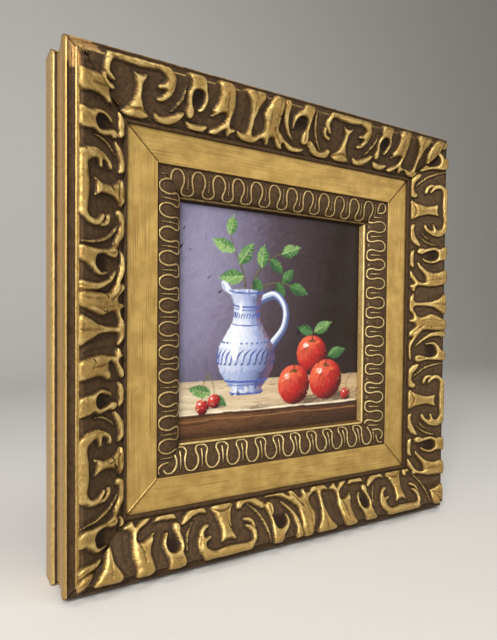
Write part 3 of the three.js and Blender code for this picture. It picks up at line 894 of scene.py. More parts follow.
def liner_moulding(side, materials):
    raster, line, worn = loop_strip(side)
    shine = SHINE[side]
    seed = SIDES.index(side) * 29 + 5
    fine_n, ratio = 540, 6
    rows = []  # A, D, kind, fine: kind 0 hidden, 1 flat, 2 strip, 3 sight
    for p in [(77.2, 10.0), (95.0, 10.0), (113.6, 10.0), (113.7, 10.1), (113.7, 20.0), (113.7, 29.85), (113.6, 29.98)]:
        rows.append([p[0], p[1], 0, 0])
    for a in np.linspace(113.3, 90.35, 9):
        rows.append([a, 30.0, 1, 0])
    rows += [
        [90.15, 29.97, 1, 1], [90.02, 29.85, 1, 1], [89.93, 29.5, 2, 1], [89.8, 28.9, 2, 1],
        [89.6, 28.3, 2, 1], [89.4, 28.1, 2, 1],
    ]
    t = (1 - np.cos(np.linspace(0, np.pi, 200))) / 2
    ca, cd = cushion(t)
    length = np.concatenate([[0], np.cumsum(np.hypot(np.diff(ca), np.diff(cd)))])
    for q in np.linspace(0, length[-1], 50):
        w = float(np.interp(q, length, t))
        a, d = cushion(w)
        rows.append([a, d, 2, 1])
    rows += [
        [74.8, 23.5, 2, 1], [74.72, 22.9, 2, 1], [74.6, 22.45, 2, 1], [74.45, 22.4, 3, 1],
        [74.2, 22.55, 3, 0], [73.95, 22.62, 3, 0], [73.65, 22.58, 3, 0], [73.35, 22.4, 3, 0],
        [73.12, 22.1, 3, 0], [73.0, 21.7, 3, 0], [72.4, 20.1, 3, 0],
        [71.9, 18.75, 3, 0], [71.88, 18.56, 3, 0], [72.0, 18.5, 0, 0], [77.1, 18.5, 0, 0],
        [77.2, 18.4, 0, 0], [77.2, 14.0, 0, 0],
    ]
    sec = np.array([[r[0], r[1]] for r in rows])
    kind = np.array([r[2] for r in rows])
    fine = np.array([r[3] for r in rows])
    tangent = np.roll(sec, -1, 0) - np.roll(sec, 1, 0)
    tangent /= np.linalg.norm(tangent, axis=1)[:, None]
    normal = np.stack([tangent[:, 1], -tangent[:, 0]], 1)
    top = np.argmax(sec[:, 1])
    if normal[top][1] < 0:
        normal = -normal
    arc = np.concatenate([[0], np.cumsum(np.linalg.norm(np.diff(sec, axis=0), axis=1))])
    edge_row = int(np.argmax(fine == 1))
    down = arc - arc[edge_row] + (92.0 - sec[edge_row][0])
    pts, G, RAIL, TONE, SHADE_AND_TONING, HIGHLIGHT_AND_SHADE, MITRE, counts = [], [], [], [], [], [], [], []
    for i in range(len(rows)):
        cols = fine_n + 1 if fine[i] else fine_n // ratio + 1
        t = np.linspace(-1, 1, cols)
        a0, d0 = sec[i]
        u = t * (a0 - GAP)
        v = down[i]
        h = np.zeros(cols)
        g = np.full(cols, 2.0)
        tone = np.zeros(cols)
        shade_and_toning = np.zeros(cols)
        highlight_and_shade = np.full(cols, 0.1)
        if kind[i] == 2:
            wu = u + 0.14 * wander(seed, u, v, 23.0)
            wv = v + 0.12 * wander(seed + 1, u, v, 19.0)
            sd = raster.sample(line, wu, np.full(cols, 1.0) * wv)
            g = sd - 0.02 + 0.05 * wander(seed + 7, u, v, 5.0)
            x = np.clip((sd + 0.45) / 0.95, 0, 1)
            h = 0.62 * x * x * (3 - 2 * x) - 0.14 * np.exp(-(((sd + 0.9) / 0.5) ** 2))
            edge = smoothstep(v, 3.9, 4.8) * smoothstep(20.4 - v, 0.0, 0.5)
            h = h * edge
            # painted highlight on the raised line, stronger on some lengths than others
            highlight_and_shade = shine * x
            tone = np.full(cols, 0.25)
            # painted shade in a thin band beside the raised line
            shade_and_toning = 0.65 * np.exp(-(((-sd - 0.35) / 0.5) ** 2)) * (sd < 0)
            bald = raster.sample(worn, wu, np.full(cols, 1.0) * wv) * {"right": 0.62, "left": 0.35, "bottom": 0.3, "top": 0.25}[side]
            g = np.where(sd < -0.25, -1.0 + 1.5 * bald, g)
            highlight_and_shade = np.maximum(highlight_and_shade, 0.7 * bald)
            # painted shadow where the flat steps down to the strip
            if v < 4.6:
                g = np.full(cols, -2.0 if v > 2.4 else -0.2)
                shade_and_toning = np.full(cols, 0.3 * min(1.0, (4.6 - v) / 1.2))
            # painted shade at the foot of the strip, by the sight lip
            if v > 20.1:
                g = np.full(cols, -1.2)
                shade_and_toning = np.full(cols, 0.1 + 0.6 * min(1.0, max(0.0, v - 20.8)))
        # sight lip and bevel: gilt lip with a painted highlight; on the top length a darker lip and a painted shadow on
        # the bevel, on the right length a painted highlight on the bevel, less gilding on the left
        if kind[i] == 3:
            lip = d0 > 21.9 and a0 < 74.3
            g = np.full(cols, 1.6 if lip else 0.9)
            tone = np.full(cols, 0.0 if lip else 0.2)
            highlight_and_shade = np.full(cols, 0.7 if lip else -0.35)
            if not lip and a0 > 74.0:
                g = np.full(cols, -0.6)
            if side == "top":
                g = np.full(cols, 0.1 if lip else -1.6)
                shade_and_toning = np.full(cols, 0.1 if lip else 0.8)
                highlight_and_shade = highlight_and_shade - 0.8
            if side == "left":
                g = np.full(cols, -0.5 if lip else -1.0)
            if side == "right" and not lip:
                highlight_and_shade = highlight_and_shade + 0.5
        if kind[i] == 0:
            g = np.full(cols, -9.0)
        a = a0 + normal[i][0] * h
        d = d0 + normal[i][1] * h
        uu = t * (a - GAP)
        pts.append(place(side, uu, a, d))
        G.append(g)
        TONE.append(tone)
        SHADE_AND_TONING.append(shade_and_toning)
        HIGHLIGHT_AND_SHADE.append(highlight_and_shade)
        RAIL.append(np.stack([uu, np.full(cols, arc[i]), d], 1))
        MITRE.append((1 - np.abs(t)) * a0)
        counts.append(cols)
    points = np.concatenate(pts)
    faces = stitched(rows, counts, ratio)
    flip = signed_volume(points, faces) < 0
    starts = np.concatenate([[0], np.cumsum(counts)])[:-1]
    cap0 = [int(s) for s in starts]
    cap1 = [int(s + c - 1) for s, c in zip(starts, counts)]

    def material_of(owner):
        k = kind[owner]
        nxt = kind[(owner + 1) % len(kind)]
        if k == 0 or (nxt == 0 and k != 3):
            return 2
        if k == 1 and nxt == 1:
            return 1
        return 0

    ob = build_mesh("liner_" + side, points, faces, [cap0, cap1], flip, material_of)
    attribute(ob, "gild", np.concatenate(G))
    attribute(ob, "highlight_and_shade", np.concatenate(HIGHLIGHT_AND_SHADE))
    attribute(ob, "shade_and_toning", np.concatenate(SHADE_AND_TONING))
    attribute(ob, "tone", np.concatenate(TONE))
    attribute(ob, "mitre", np.concatenate(MITRE))
    attribute(ob, "rail", np.concatenate(RAIL) + np.array([SIDES.index(side) * 400.0 + 2000, 0, 0]))
    for m in materials:
        ob.data.materials.append(m)
    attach(ob, "root")
    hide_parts("liner_moulding_" + side)
    return ob


# ------------------------------------------------------------------ materials


class Tree:
    """Short hand for building a node tree."""

    def __init__(self, name):
        self.mat = bpy.data.materials.new(name)
        self.mat.use_nodes = True
        self.nt = self.mat.node_tree
        self.bsdf = next(n for n in self.nt.nodes if n.type == "BSDF_PRINCIPLED")
        self.row = 0

    def node(self, kind, **props):
        n = self.nt.nodes.new(kind)
        n.location = (-300 - 180 * (self.row % 9), 300 - 160 * (self.row // 9))
        self.row += 1
        for k, v in props.items():
            setattr(n, k, v)
        return n

    def put(self, socket, value):
        if hasattr(value, "is_output"):
            self.nt.links.new(value, socket)
        else:
            socket.default_value = value

    def attr(self, name):
        n = self.node("ShaderNodeAttribute", attribute_name=name)
        return n

    def math(self, op, a, b=0.0, c=0.0, clamp=False):
        n = self.node("ShaderNodeMath", operation=op, use_clamp=clamp)
        self.put(n.inputs[0], a)
        self.put(n.inputs[1], b)
        self.put(n.inputs[2], c)
        return n.outputs[0]

    def vmul(self, v, s):
        n = self.node("ShaderNodeVectorMath", operation="MULTIPLY")
        self.put(n.inputs[0], v)
        self.put(n.inputs[1], s)
        return n.outputs[0]

    def noise(self, vector, scale, detail=3.0, rough=0.55, distortion=0.0):
        n = self.node("ShaderNodeTexNoise")
        self.put(n.inputs["Vector"], vector)
        self.put(n.inputs["Scale"], scale)
        self.put(n.inputs["Detail"], detail)
        self.put(n.inputs["Roughness"], rough)
        self.put(n.inputs["Distortion"], distortion)
        return n.outputs["Fac"]

    def ramp(self, value, a, b, lo=0.0, hi=1.0, smooth=True):
        n = self.node("ShaderNodeMapRange", interpolation_type="SMOOTHSTEP" if smooth else "LINEAR")
        self.put(n.inputs["Value"], value)
        self.put(n.inputs["From Min"], a)
        self.put(n.inputs["From Max"], b)
        self.put(n.inputs["To Min"], lo)
        self.put(n.inputs["To Max"], hi)
        return n.outputs[0]

    def mix(self, fac, a, b, blend="MIX"):
        n = self.node("ShaderNodeMix", data_type="RGBA", blend_type=blend)
        self.put(n.inputs[0], fac)
        self.put(n.inputs[6], a)
        self.put(n.inputs[7], b)
        return n.outputs[2]

    def bump(self, height, distance, strength=1.0, normal=None):
        n = self.node("ShaderNodeBump")
        self.put(n.inputs["Height"], height)
        n.inputs["Distance"].default_value = distance
        n.inputs["Strength"].default_value = strength
        if normal is not None:
            self.put(n.inputs["Normal"], normal)
        return n.outputs[0]

    def out(self, **sockets):
        for k, v in sockets.items():
            self.put(self.bsdf.inputs[k.replace("_", " ")], v)


def lin(r, g, b):
    def f(c):
        c /= 255
        return c / 12.92 if c <= 0.04045 else ((c + 0.055) / 1.055) ** 2.4

    return (f(r), f(g), f(b), 1.0)


def gilt_over_brown(name, strip=False):
    """Rubbed gilding over a brown toned ground; 'gild' is the distance into the gilded area in mm,
    the attribute for how far the spot stands above its surroundings in mm lays a painted highlight on high spots and
    painted shade on low ones, and the recess attribute darkens the brown with painted shade and toning; the gold also
    gets painted shade on its flanks."""
    t = Tree(name)
    rail = t.attr("rail").outputs["Vector"]
    gild = t.attr("gild").outputs["Fac"]
    shade_and_toning = t.attr("shade_and_toning").outputs["Fac"]
    tone = t.attr("tone").outputs["Fac"]
    highlight_and_shade = t.attr("highlight_and_shade").outputs["Fac"]
    mitre = t.attr("mitre").outputs["Fac"]
    broad = t.noise(t.vmul(rail, (0.07, 0.12, 0.12)), 1.0, 3.0)
    mid = t.noise(t.vmul(rail, (0.45, 0.45, 0.45)), 1.0, 4.0)
    fine = t.noise(t.vmul(rail, (2.3, 2.3, 2.3)), 1.0, 3.0)
    streak = t.noise(t.vmul(rail, (0.2, 1.7, 0.7)), 1.0, 3.0, 0.6)
    rough_edge = 0.3 if strip else 1.0
    start = 0.0 if strip else 0.22
    edge = t.math("MULTIPLY_ADD", t.math("SUBTRACT", fine, 0.5), 1.3 * rough_edge, gild)
    edge = t.math("MULTIPLY_ADD", t.math("SUBTRACT", streak, 0.5), 3.0 * rough_edge, edge)
    mask = t.ramp(edge, start - 0.2, start + 0.26)
    bare = t.math("MULTIPLY", t.ramp(streak, 0.52, 0.66), t.ramp(mid, 0.42, 0.6))
    bare = t.math("MULTIPLY", bare, t.ramp(gild, 0.0, 3.0, 0.15, 0.35 if strip else 0.85))
    mask = t.math("MULTIPLY", mask, t.math("SUBTRACT", 1.0, bare))
    # painted highlight and shade: the gold lightens on high spots and darkens on low ones, with random tone from the
    # noise
    highlight_and_tone = t.math("MULTIPLY_ADD", t.math("SUBTRACT", mid, 0.5), 0.9, highlight_and_shade)
    highlight_and_tone = t.math("MULTIPLY_ADD", t.math("SUBTRACT", streak, 0.5), 0.8, highlight_and_tone)
    gold = t.mix(t.ramp(highlight_and_tone, -0.45, 0.2), lin(100, 76, 40), lin(182, 156, 104) if strip else lin(166, 136, 78))
    gold = t.mix(t.ramp(highlight_and_tone, 0.15, 0.7), gold, lin(226, 203, 142) if strip else lin(214, 188, 122))
    gold = t.mix(t.ramp(broad, 0.4, 0.7, 0.0, 0.35), gold, lin(168, 130, 74))
    # painted shade: the gold darkens towards the edges of each gilded shape, on its flanks
    gold = t.mix(t.ramp(edge, 0.1, 0.45 if strip else 1.5, 0.3 if strip else 0.65, 0.0), gold, lin(98, 72, 36))
    gold = t.mix(t.ramp(tone, 0.0, 1.0, 0.0, 0.85), gold, lin(186, 148, 98))
    gold = t.mix(t.ramp(fine, 0.58, 0.8, 0.0, 0.4), gold, lin(98, 68, 34))
    brown = t.mix(t.ramp(mid, 0.3, 0.7), lin(60, 43, 25), lin(82, 62, 40))
    # painted shade and toning: the brown darkens in hollows and beside the gilding
    brown = t.mix(t.ramp(shade_and_toning, 0.05, 0.9, 0.0, 0.9), brown, lin(30, 17, 7))
    brown = t.mix(t.ramp(fine, 0.6, 0.76, 0.0, 0.4), brown, lin(116, 92, 60))
    colour = t.mix(mask, brown, gold)
    colour = t.mix(t.ramp(mitre, 0.05, 0.45, 0.8, 0.0), colour, lin(40, 24, 12))
    rough = t.math("ADD", t.ramp(mask, 0.0, 1.0, 0.55, 0.38), t.ramp(mid, 0.3, 0.7, -0.05, 0.1))
    grain = t.math("ADD", t.math("MULTIPLY", fine, 0.6), t.math("MULTIPLY", mid, 1.0))
    grain = t.math("MULTIPLY_ADD", mask, 0.25, grain)
    normal = t.bump(grain, 0.0002, 0.8)
    t.out(Base_Color=colour, Metallic=t.ramp(mask, 0.0, 1.0, 0.0, 0.62), Roughness=rough, Normal=normal)
    t.bsdf.inputs["IOR"].default_value = 1.5
    t.bsdf.inputs["Specular IOR Level"].default_value = 0.16
    return t.mat


def gilt_flat(name):
    """Satin gilding with fine brown grain lines along the length."""
    t = Tree(name)
    rail = t.attr("rail").outputs["Vector"]
    mitre = t.attr("mitre").outputs["Fac"]
    lines = t.noise(t.vmul(rail, (0.03, 1.9, 0.0)), 1.0, 2.0, 0.5)
    lines2 = t.noise(t.vmul(rail, (0.018, 5.2, 0.0)), 1.0, 2.0, 0.5)
    cloud = t.noise(t.vmul(rail, (0.09, 0.11, 0.0)), 1.0, 3.0)
    speck = t.noise(t.vmul(rail, (1.1, 2.6, 0.0)), 1.0, 4.0)
    scuff = t.noise(t.vmul(rail, (0.5, 0.22, 0.0)), 1.0, 3.0, 0.6, 1.2)
    gold = t.mix(t.ramp(cloud, 0.3, 0.7), lin(170, 137, 72), lin(196, 163, 92))
    gold = t.mix(t.ramp(lines, 0.54, 0.7, 0.0, 0.7), gold, lin(116, 84, 38))
    gold = t.mix(t.ramp(lines2, 0.55, 0.7, 0.0, 0.55), gold, lin(120, 88, 42))
    gold = t.mix(t.ramp(speck, 0.58, 0.8, 0.0, 0.4), gold, lin(128, 96, 48))
    gold = t.mix(t.ramp(scuff, 0.62, 0.78, 0.0, 0.3), gold, lin(206, 180, 122))
    gold = t.mix(t.ramp(mitre, 0.05, 0.4, 0.85, 0.0), gold, lin(58, 38, 18))
    rough = t.math("ADD", t.ramp(lines, 0.4, 0.7, 0.42, 0.54), t.ramp(speck, 0.3, 0.7, -0.03, 0.05))
    height = t.math("ADD", t.math("MULTIPLY", lines, -1.0), t.math("MULTIPLY", lines2, -0.6))
    normal = t.bump(height, 0.00012, 0.7)
    t.out(Base_Color=gold, Metallic=0.6, Roughness=rough, Normal=normal)
    return t.mat


def bare_wood(name):
    """Raw pale wood of the hidden sides, with long grain."""
    t = Tree(name)
    rail = t.attr("rail").outputs["Vector"]
    grain = t.noise(t.vmul(rail, (0.03, 0.8, 0.8)), 1.0, 4.0, 0.6, 0.4)
    pore = t.noise(t.vmul(rail, (0.25, 4.5, 4.5)), 1.0, 2.0)
    c = t.mix(t.ramp(grain, 0.3, 0.7), lin(196, 160, 112), lin(158, 118, 74))
    c = t.mix(t.ramp(pore, 0.6, 0.75, 0.0, 0.5), c, lin(112, 78, 46))
    t.out(Base_Color=c, Roughness=t.ramp(grain, 0.3, 0.7, 0.62, 0.78), Normal=t.bump(pore, 0.0001, 0.5))
    return t.mat


# ------------------------------------------------------------------ painted panel


class Canvas:
    """A painting laid down in brush strokes: linear colour and paint height over (x, z) in mm."""

    def __init__(self, half=72.6, step=0.264):
        self.half, self.step = half, step
        self.n = int(round(2 * half / step)) + 1
        self.x = np.linspace(-half, half, self.n)
        self.X, self.Z = np.meshgrid(self.x, self.x)
        self.colour = np.zeros((self.n, self.n, 3))
        self.relief = np.zeros((self.n, self.n))

    def strokes(self, seed, region, shade, flow, count, length, width, load=0.05, loose=0.35, vary=0.06):
        """Strokes centred inside the region (positive inside) and kept to it."""
        g = rng(seed)
        field = region(self.X, self.Z)
        spots = np.argwhere(field > 0)
        if len(spots) == 0:
            return
        picks = spots[g.integers(0, len(spots), count)]
        for i0, j0 in picks:
            cx, cz = self.x[j0], self.x[i0]
            th = flow(cx, cz) + 0.22 * g.standard_normal()
            half_l = 0.5 * length * (0.6 + 0.8 * g.random())
            half_w = 0.5 * width * (0.7 + 0.6 * g.random())
            reach = half_l + half_w
            r = int(reach / self.step) + 1
            ia, ib = max(0, i0 - r), min(self.n, i0 + r + 1)
            ja, jb = max(0, j0 - r), min(self.n, j0 + r + 1)
            dx = self.X[ia:ib, ja:jb] - cx
            dz = self.Z[ia:ib, ja:jb] - cz
            ca, sa = math.cos(th), math.sin(th)
            along = dx * ca + dz * sa
            across = -dx * sa + dz * ca + 0.02 * g.standard_normal() * along**2 / max(half_l, 1)
            q = np.clip(np.abs(along) / half_l, 0, 1)
            w = half_w * np.sqrt(np.clip(1 - q**3, 0, 1))
            hairs = g.standard_normal(15)
            hair = np.interp(across / half_w, np.linspace(-1.2, 1.2, 15), hairs)
            dry = 0.55 * smoothstep(along / half_l, 0.2, 1.0)
            inside = (np.abs(across) < w) & (hair > -2.2 + 2.6 * dry)
            inside &= field[ia:ib, ja:jb] > -loose * g.random()
            if not inside.any():
                continue
            c = np.array(shade(cx, cz)[:3]) * (1 + vary * g.standard_normal()) * (1 + 0.5 * vary * g.standard_normal(3))
            tint = np.clip(c[None, :] * (1 + 0.05 * hair[inside][:, None]), 0, 1)
            view = self.colour[ia:ib, ja:jb]
            view[inside] = tint
            hump = 0.6 * (1 - (across / half_w) ** 2) + 0.12 * hair + 0.35 * (across / half_w) ** 4
            deck = self.relief[ia:ib, ja:jb]
            deck[inside] = 0.4 * deck[inside] + load * np.clip(hump[inside], 0, 1.3)

    def line(self, points, width, colour, seed=0, load=0.05):
        """One thin stroke along a curve."""
        g = rng(seed)
        for x, z, k in catmull([(p[0], p[1], p[2] if len(p) > 2 else 1.0) for p in points], 24):
            h = max(0.5 * width * k, 0.16)
            r = int(h / self.step) + 2
            j0 = int(round((x + self.half) / self.step))
            i0 = int(round((z + self.half) / self.step))
            ia, ib = max(0, i0 - r), min(self.n, i0 + r + 1)
            ja, jb = max(0, j0 - r), min(self.n, j0 + r + 1)
            if ia >= ib or ja >= jb:
                continue
            d = np.hypot(self.X[ia:ib, ja:jb] - x, self.Z[ia:ib, ja:jb] - z)
            cover = np.clip((h - d) / self.step + 0.5, 0, 1)[..., None]
            tint = np.array(colour[:3]) * (1 + 0.04 * g.standard_normal())
            self.colour[ia:ib, ja:jb] = self.colour[ia:ib, ja:jb] * (1 - cover) + tint * cover
            self.relief[ia:ib, ja:jb] = np.maximum(self.relief[ia:ib, ja:jb], load * cover[..., 0])

    def sample(self, field, x, z):
        i = np.clip((z + self.half) / self.step, 0, self.n - 1.001)
        j = np.clip((x + self.half) / self.step, 0, self.n - 1.001)
        i0, j0 = np.floor(i).astype(int), np.floor(j).astype(int)
        fi, fj = i - i0, j - j0
        if field.ndim == 3:
            fi, fj = fi[:, None], fj[:, None]
        return (
            field[i0, j0] * (1 - fi) * (1 - fj)
            + field[i0, j0 + 1] * (1 - fi) * fj
            + field[i0 + 1, j0] * fi * (1 - fj)
            + field[i0 + 1, j0 + 1] * fi * fj
        )


def blend(a, b, t):
    t = min(max(float(t), 0.0), 1.0)
    return tuple(a[k] * (1 - t) + b[k] * t for k in range(3))


def three(dark, half_tone, light, k):
    return blend(dark, half_tone, k * 2) if k < 0.5 else blend(half_tone, light, k * 2 - 1)


def still_life():
    """A plain still life: a banded jug with a leafy sprig, apples and cherries on a pale shelf."""
    c = Canvas()
    shelf, drop = -37.0, -57.0
    light = np.array([-0.55, 0.62, 0.56])
    jug_x = -24.0
    jug = np.array([
        (-47.5, 0.0), (-47.0, 11.5), (-45.0, 12.5), (-43.0, 11.2), (-38.0, 15.5), (-31.0, 20.0),
        (-23.0, 22.0), (-15.0, 20.3), (-7.0, 15.2), (0.0, 10.8), (6.0, 9.4), (13.0, 10.0),
        (19.0, 12.4), (21.0, 13.4), (21.6, 0.0),
    ])
    apples = [(42.0, -40.0, 14.5), (14.0, -42.5, 13.5), (29.5, -21.5, 13.0)]
    cherries = [(-47.5, -50.0, 4.6), (-56.0, -53.0, 4.8), (60.5, -51.5, 4.5)]

    def jug_field(x, z):
        return np.interp(z, jug[:, 0], jug[:, 1], left=-30, right=-30) - np.abs(x - jug_x)

    def shade_at(cx, cz):
        """How far a spot on the shelf lies in the shadow thrown to the right."""
        k = 0.0
        for x, z, r in apples[:2] + [(jug_x, -46.0, 15.0)] + cherries:
            d = math.hypot((cx - x - 0.75 * r) / (1.35 * r), (cz - (z - 0.86 * r)) / (0.34 * r))
            k = max(k, 1 - d)
        return min(1.0, max(0.0, 1.6 * k))

    def wall(x, z):
        t = (x + 60) / 104 - 0.12 * (z - 20) / 72
        base = three(lin(124, 120, 150), lin(70, 56, 66), lin(30, 17, 12), t)
        low = min(max((-10 - z) / 34, 0), 1)
        base = blend(base, lin(44, 32, 34), 0.45 * low)
        glow = math.exp(-(((x + 60) / 34) ** 2 + ((z - 40) / 44) ** 2))
        return blend(base, lin(146, 140, 166), 0.5 * glow)

    def top_of_shelf(x, z):
        t = (x + 72) / 144
        base = blend(lin(226, 212, 184), lin(192, 164, 124), 0.25 + 0.75 * t)
        grain = 0.5 + 0.5 * math.sin(0.9 * z + 2.2 * math.sin(0.05 * x + 0.3 * z))
        base = blend(base, lin(166, 134, 96), 0.35 * grain)
        base = blend(base, lin(110, 92, 88), 0.35 * min(max((z + 41) / 5, 0), 1))
        return blend(base, lin(58, 42, 40), 0.85 * shade_at(x, z))

    def front_of_shelf(x, z):
        t = (x + 72) / 144
        base = blend(lin(128, 84, 48), lin(72, 42, 24), t)
        base = blend(base, lin(40, 22, 12), min(max((drop - z) / 17, 0), 1) ** 1.5)
        grain = 0.5 + 0.5 * math.sin(1.7 * z + 3 * math.sin(0.07 * x))
        return blend(base, lin(54, 30, 16), 0.4 * grain)

    flat_way = lambda x, z: 0.0
    c.strokes(1, lambda x, z: z - shelf, wall, lambda x, z: 0.9 + 0.6 * math.sin(0.05 * x + 0.07 * z), 3600, 10.0, 3.2, 0.035, vary=0.03)
    c.strokes(2, lambda x, z: np.minimum(shelf - z, z - drop), top_of_shelf, flat_way, 1500, 12.0, 1.5, 0.05, vary=0.04)
    c.strokes(3, lambda x, z: drop - z, front_of_shelf, flat_way, 1200, 16.0, 1.5, 0.04, vary=0.05)
    g = rng(12)
    for k in range(26):
        x0, z0 = g.uniform(-72, 60), g.uniform(drop + 1.5, shelf - 3)
        run = g.uniform(8, 26)
        c.line([(x0, z0, 0.2), (x0 + run / 2, z0 + g.uniform(-0.4, 0.4), 1), (x0 + run, z0, 0.2)], 0.45, lin(140, 108, 74), k)
    for k in range(16):
        x0, z0 = g.uniform(-72, 60), g.uniform(-70, drop - 3)
        run = g.uniform(10, 30)
        c.line([(x0, z0, 0.2), (x0 + run / 2, z0 + g.uniform(-0.5, 0.5), 1), (x0 + run, z0, 0.2)], 0.5, lin(36, 18, 9), 40 + k)
    for z0, w, col in ((drop + 0.1, 1.0, lin(240, 228, 202)), (drop - 1.6, 1.3, lin(60, 34, 18)), (drop - 4.4, 0.7, lin(150, 104, 62))):
        pts = [(x, z0 + 0.25 * math.sin(0.11 * x) + g.uniform(-0.15, 0.15), g.uniform(0.6, 1.2)) for x in np.arange(-74, 75, 6.0)]
        c.line(pts, w, col, int(-z0))

    # leaves: base, tip, half width, how lit
    def leaf(seed, base, tip, half_w, lit):
        bx, bz = base
        tx, tz = tip
        length = math.hypot(tx - bx, tz - bz)
        ux, uz = (tx - bx) / length, (tz - bz) / length

        def local(x, z):
            return (x - bx) * ux + (z - bz) * uz, -(x - bx) * uz + (z - bz) * ux

        def field(x, z):
            s, q = local(x, z)
            k = np.clip(s / length, 0, 1)
            serr = 0.35 * np.abs(np.sin(s * 1.35))
            wide = half_w * np.sin(np.pi * k**0.8) ** 0.85 - serr * (k > 0.12)
            return np.where((s > 0) & (s < length), wide - np.abs(q), -5.0)

        def shade(x, z):
            s, q = local(x, z)
            k = lit + (0.16 if q > 0 else -0.14) + 0.12 * math.sin(2.2 * s)
            return three(lin(24, 52, 34), lin(66, 116, 62), lin(158, 190, 118), min(max(k, 0), 1))

        c.strokes(seed, field, shade, lambda x, z: math.atan2(uz, ux) + (0.7 if local(x, z)[1] > 0 else -0.7), int(30 + 0.9 * length * half_w), 4.5, 1.0, 0.05, 0.12)
        c.line([(bx, bz, 1.0), (bx + 0.5 * (tx - bx), bz + 0.5 * (tz - bz), 0.8), (tx, tz, 0.3)], 0.5, lin(176, 200, 136) if lit > 0.45 else lin(84, 130, 74), seed)
        for k in (0.25, 0.42, 0.58, 0.74):
            for sign in (-1, 1):
                mx, mz = bx + k * (tx - bx), bz + k * (tz - bz)
                reach = half_w * math.sin(math.pi * (k + 0.1) ** 0.8) * 0.72
                ex = mx + ux * reach * 0.75 - uz * reach * sign
                ez = mz + uz * reach * 0.75 + ux * reach * sign
                c.line([(mx, mz, 0.8), ((mx + ex) / 2 + ux * 0.3, (mz + ez) / 2 + uz * 0.3, 0.7), (ex, ez, 0.2)], 0.32, lin(130, 168, 100) if lit > 0.45 else lin(60, 100, 58), seed)

    # sprig standing in the jug
    twigs = [
        [(-25.0, 18.0, 1.0), (-27.0, 32.0, 0.9), (-33.0, 45.0, 0.7), (-37.0, 57.0, 0.4)],
        [(-22.0, 18.0, 1.0), (-17.0, 31.0, 0.9), (-8.0, 41.0, 0.7), (4.0, 47.0, 0.4)],
        [(-20.0, 18.0, 1.0), (-9.0, 25.0, 0.8), (2.0, 27.0, 0.6), (11.0, 25.0, 0.4)],
    ]
    for k, tw in enumerate(twigs):
        c.line(tw, 1.3, lin(70, 62, 36), 60 + k)
        c.line([(x - 0.25, z + 0.2, w * 0.4) for x, z, w in tw], 1.0, lin(140, 140, 84), 70 + k)
    for k, (b, e, w, lit) in enumerate([
        ((-27.0, 30.0), (-45.0, 28.0), 5.0, 0.62), ((-30.0, 38.0), (-19.0, 52.0), 4.8, 0.5),
        ((-33.5, 46.0), (-50.0, 52.0), 4.6, 0.72), ((-37.0, 56.0), (-34.0, 69.0), 4.0, 0.6),
        ((-18.0, 29.0), (-14.0, 17.0), 4.2, 0.28), ((-13.0, 36.5), (-11.0, 52.0), 4.6, 0.55),
        ((-6.0, 42.0), (4.0, 33.5), 4.2, 0.34), ((3.0, 46.5), (19.0, 52.0), 4.6, 0.5),
        ((0.0, 27.0), (4.0, 15.0), 4.2, 0.26), ((10.0, 25.2), (25.0, 20.0), 4.3, 0.36),
        ((4.0, 27.2), (13.0, 36.5), 3.8, 0.42),
    ]):
        leaf(80 + k, b, e, w, lit)

    # jug: handle first, then the body
    handle = [(-14.0, 15.0, 1.0), (-2.0, 18.5, 1.05), (6.0, 10.0, 1.0), (5.0, -3.0, 0.95), (-5.0, -15.0, 1.1)]
    c.line(handle, 5.4, lin(78, 92, 138), 101, 0.05)
    c.line([(x - 0.7, z + 0.8, w * 0.55) for x, z, w in handle], 5.4, lin(176, 188, 216), 102, 0.06)
    c.line([(x - 1.0, z + 1.3, w * 0.2) for x, z, w in handle], 5.4, lin(240, 243, 248), 103, 0.07)

    def jug_shade(x, z):
        r = float(np.interp(z, jug[:, 0], jug[:, 1]))
        if r < 1:
            r = 12.0
        nx = min(max((x - jug_x) / r, -1), 1)
        slope = (float(np.interp(z + 1, jug[:, 0], jug[:, 1])) - float(np.interp(z - 1, jug[:, 0], jug[:, 1]))) / 2
        n = np.array([nx, -slope * 0.6, math.sqrt(max(0.0, 1 - nx * nx))])
        n /= np.linalg.norm(n)
        k = float(n @ light) / float(np.linalg.norm(light))
        col = three(lin(52, 62, 104), lin(146, 160, 200), lin(232, 236, 244), min(max(0.16 + 0.86 * k, 0), 1))
        warm = min(max(nx - 0.55, 0), 0.4)
        return blend(col, lin(150, 96, 84), warm)

    c.strokes(110, jug_field, jug_shade, lambda x, z: math.pi / 2 + 0.5 * (x - jug_x) / 22 * (1 if z < -23 else -1), 2100, 5.2, 1.6, 0.05, 0.1, 0.025)
    spout = [(-36.0, 19.0, 0.5), (-39.5, 22.5, 1.0), (-41.5, 25.0, 0.6)]
    c.line(spout, 4.6, lin(214, 221, 236), 111)
    c.line([(-40.5, 21.0, 0.6), (-42.0, 24.6, 0.6)], 1.0, lin(120, 134, 178), 112)

    def around(z, nx):
        r = float(np.interp(z, jug[:, 0], jug[:, 1]))
        return jug_x + r * nx, z - 1.6 * math.sqrt(max(0.0, 1 - nx * nx))

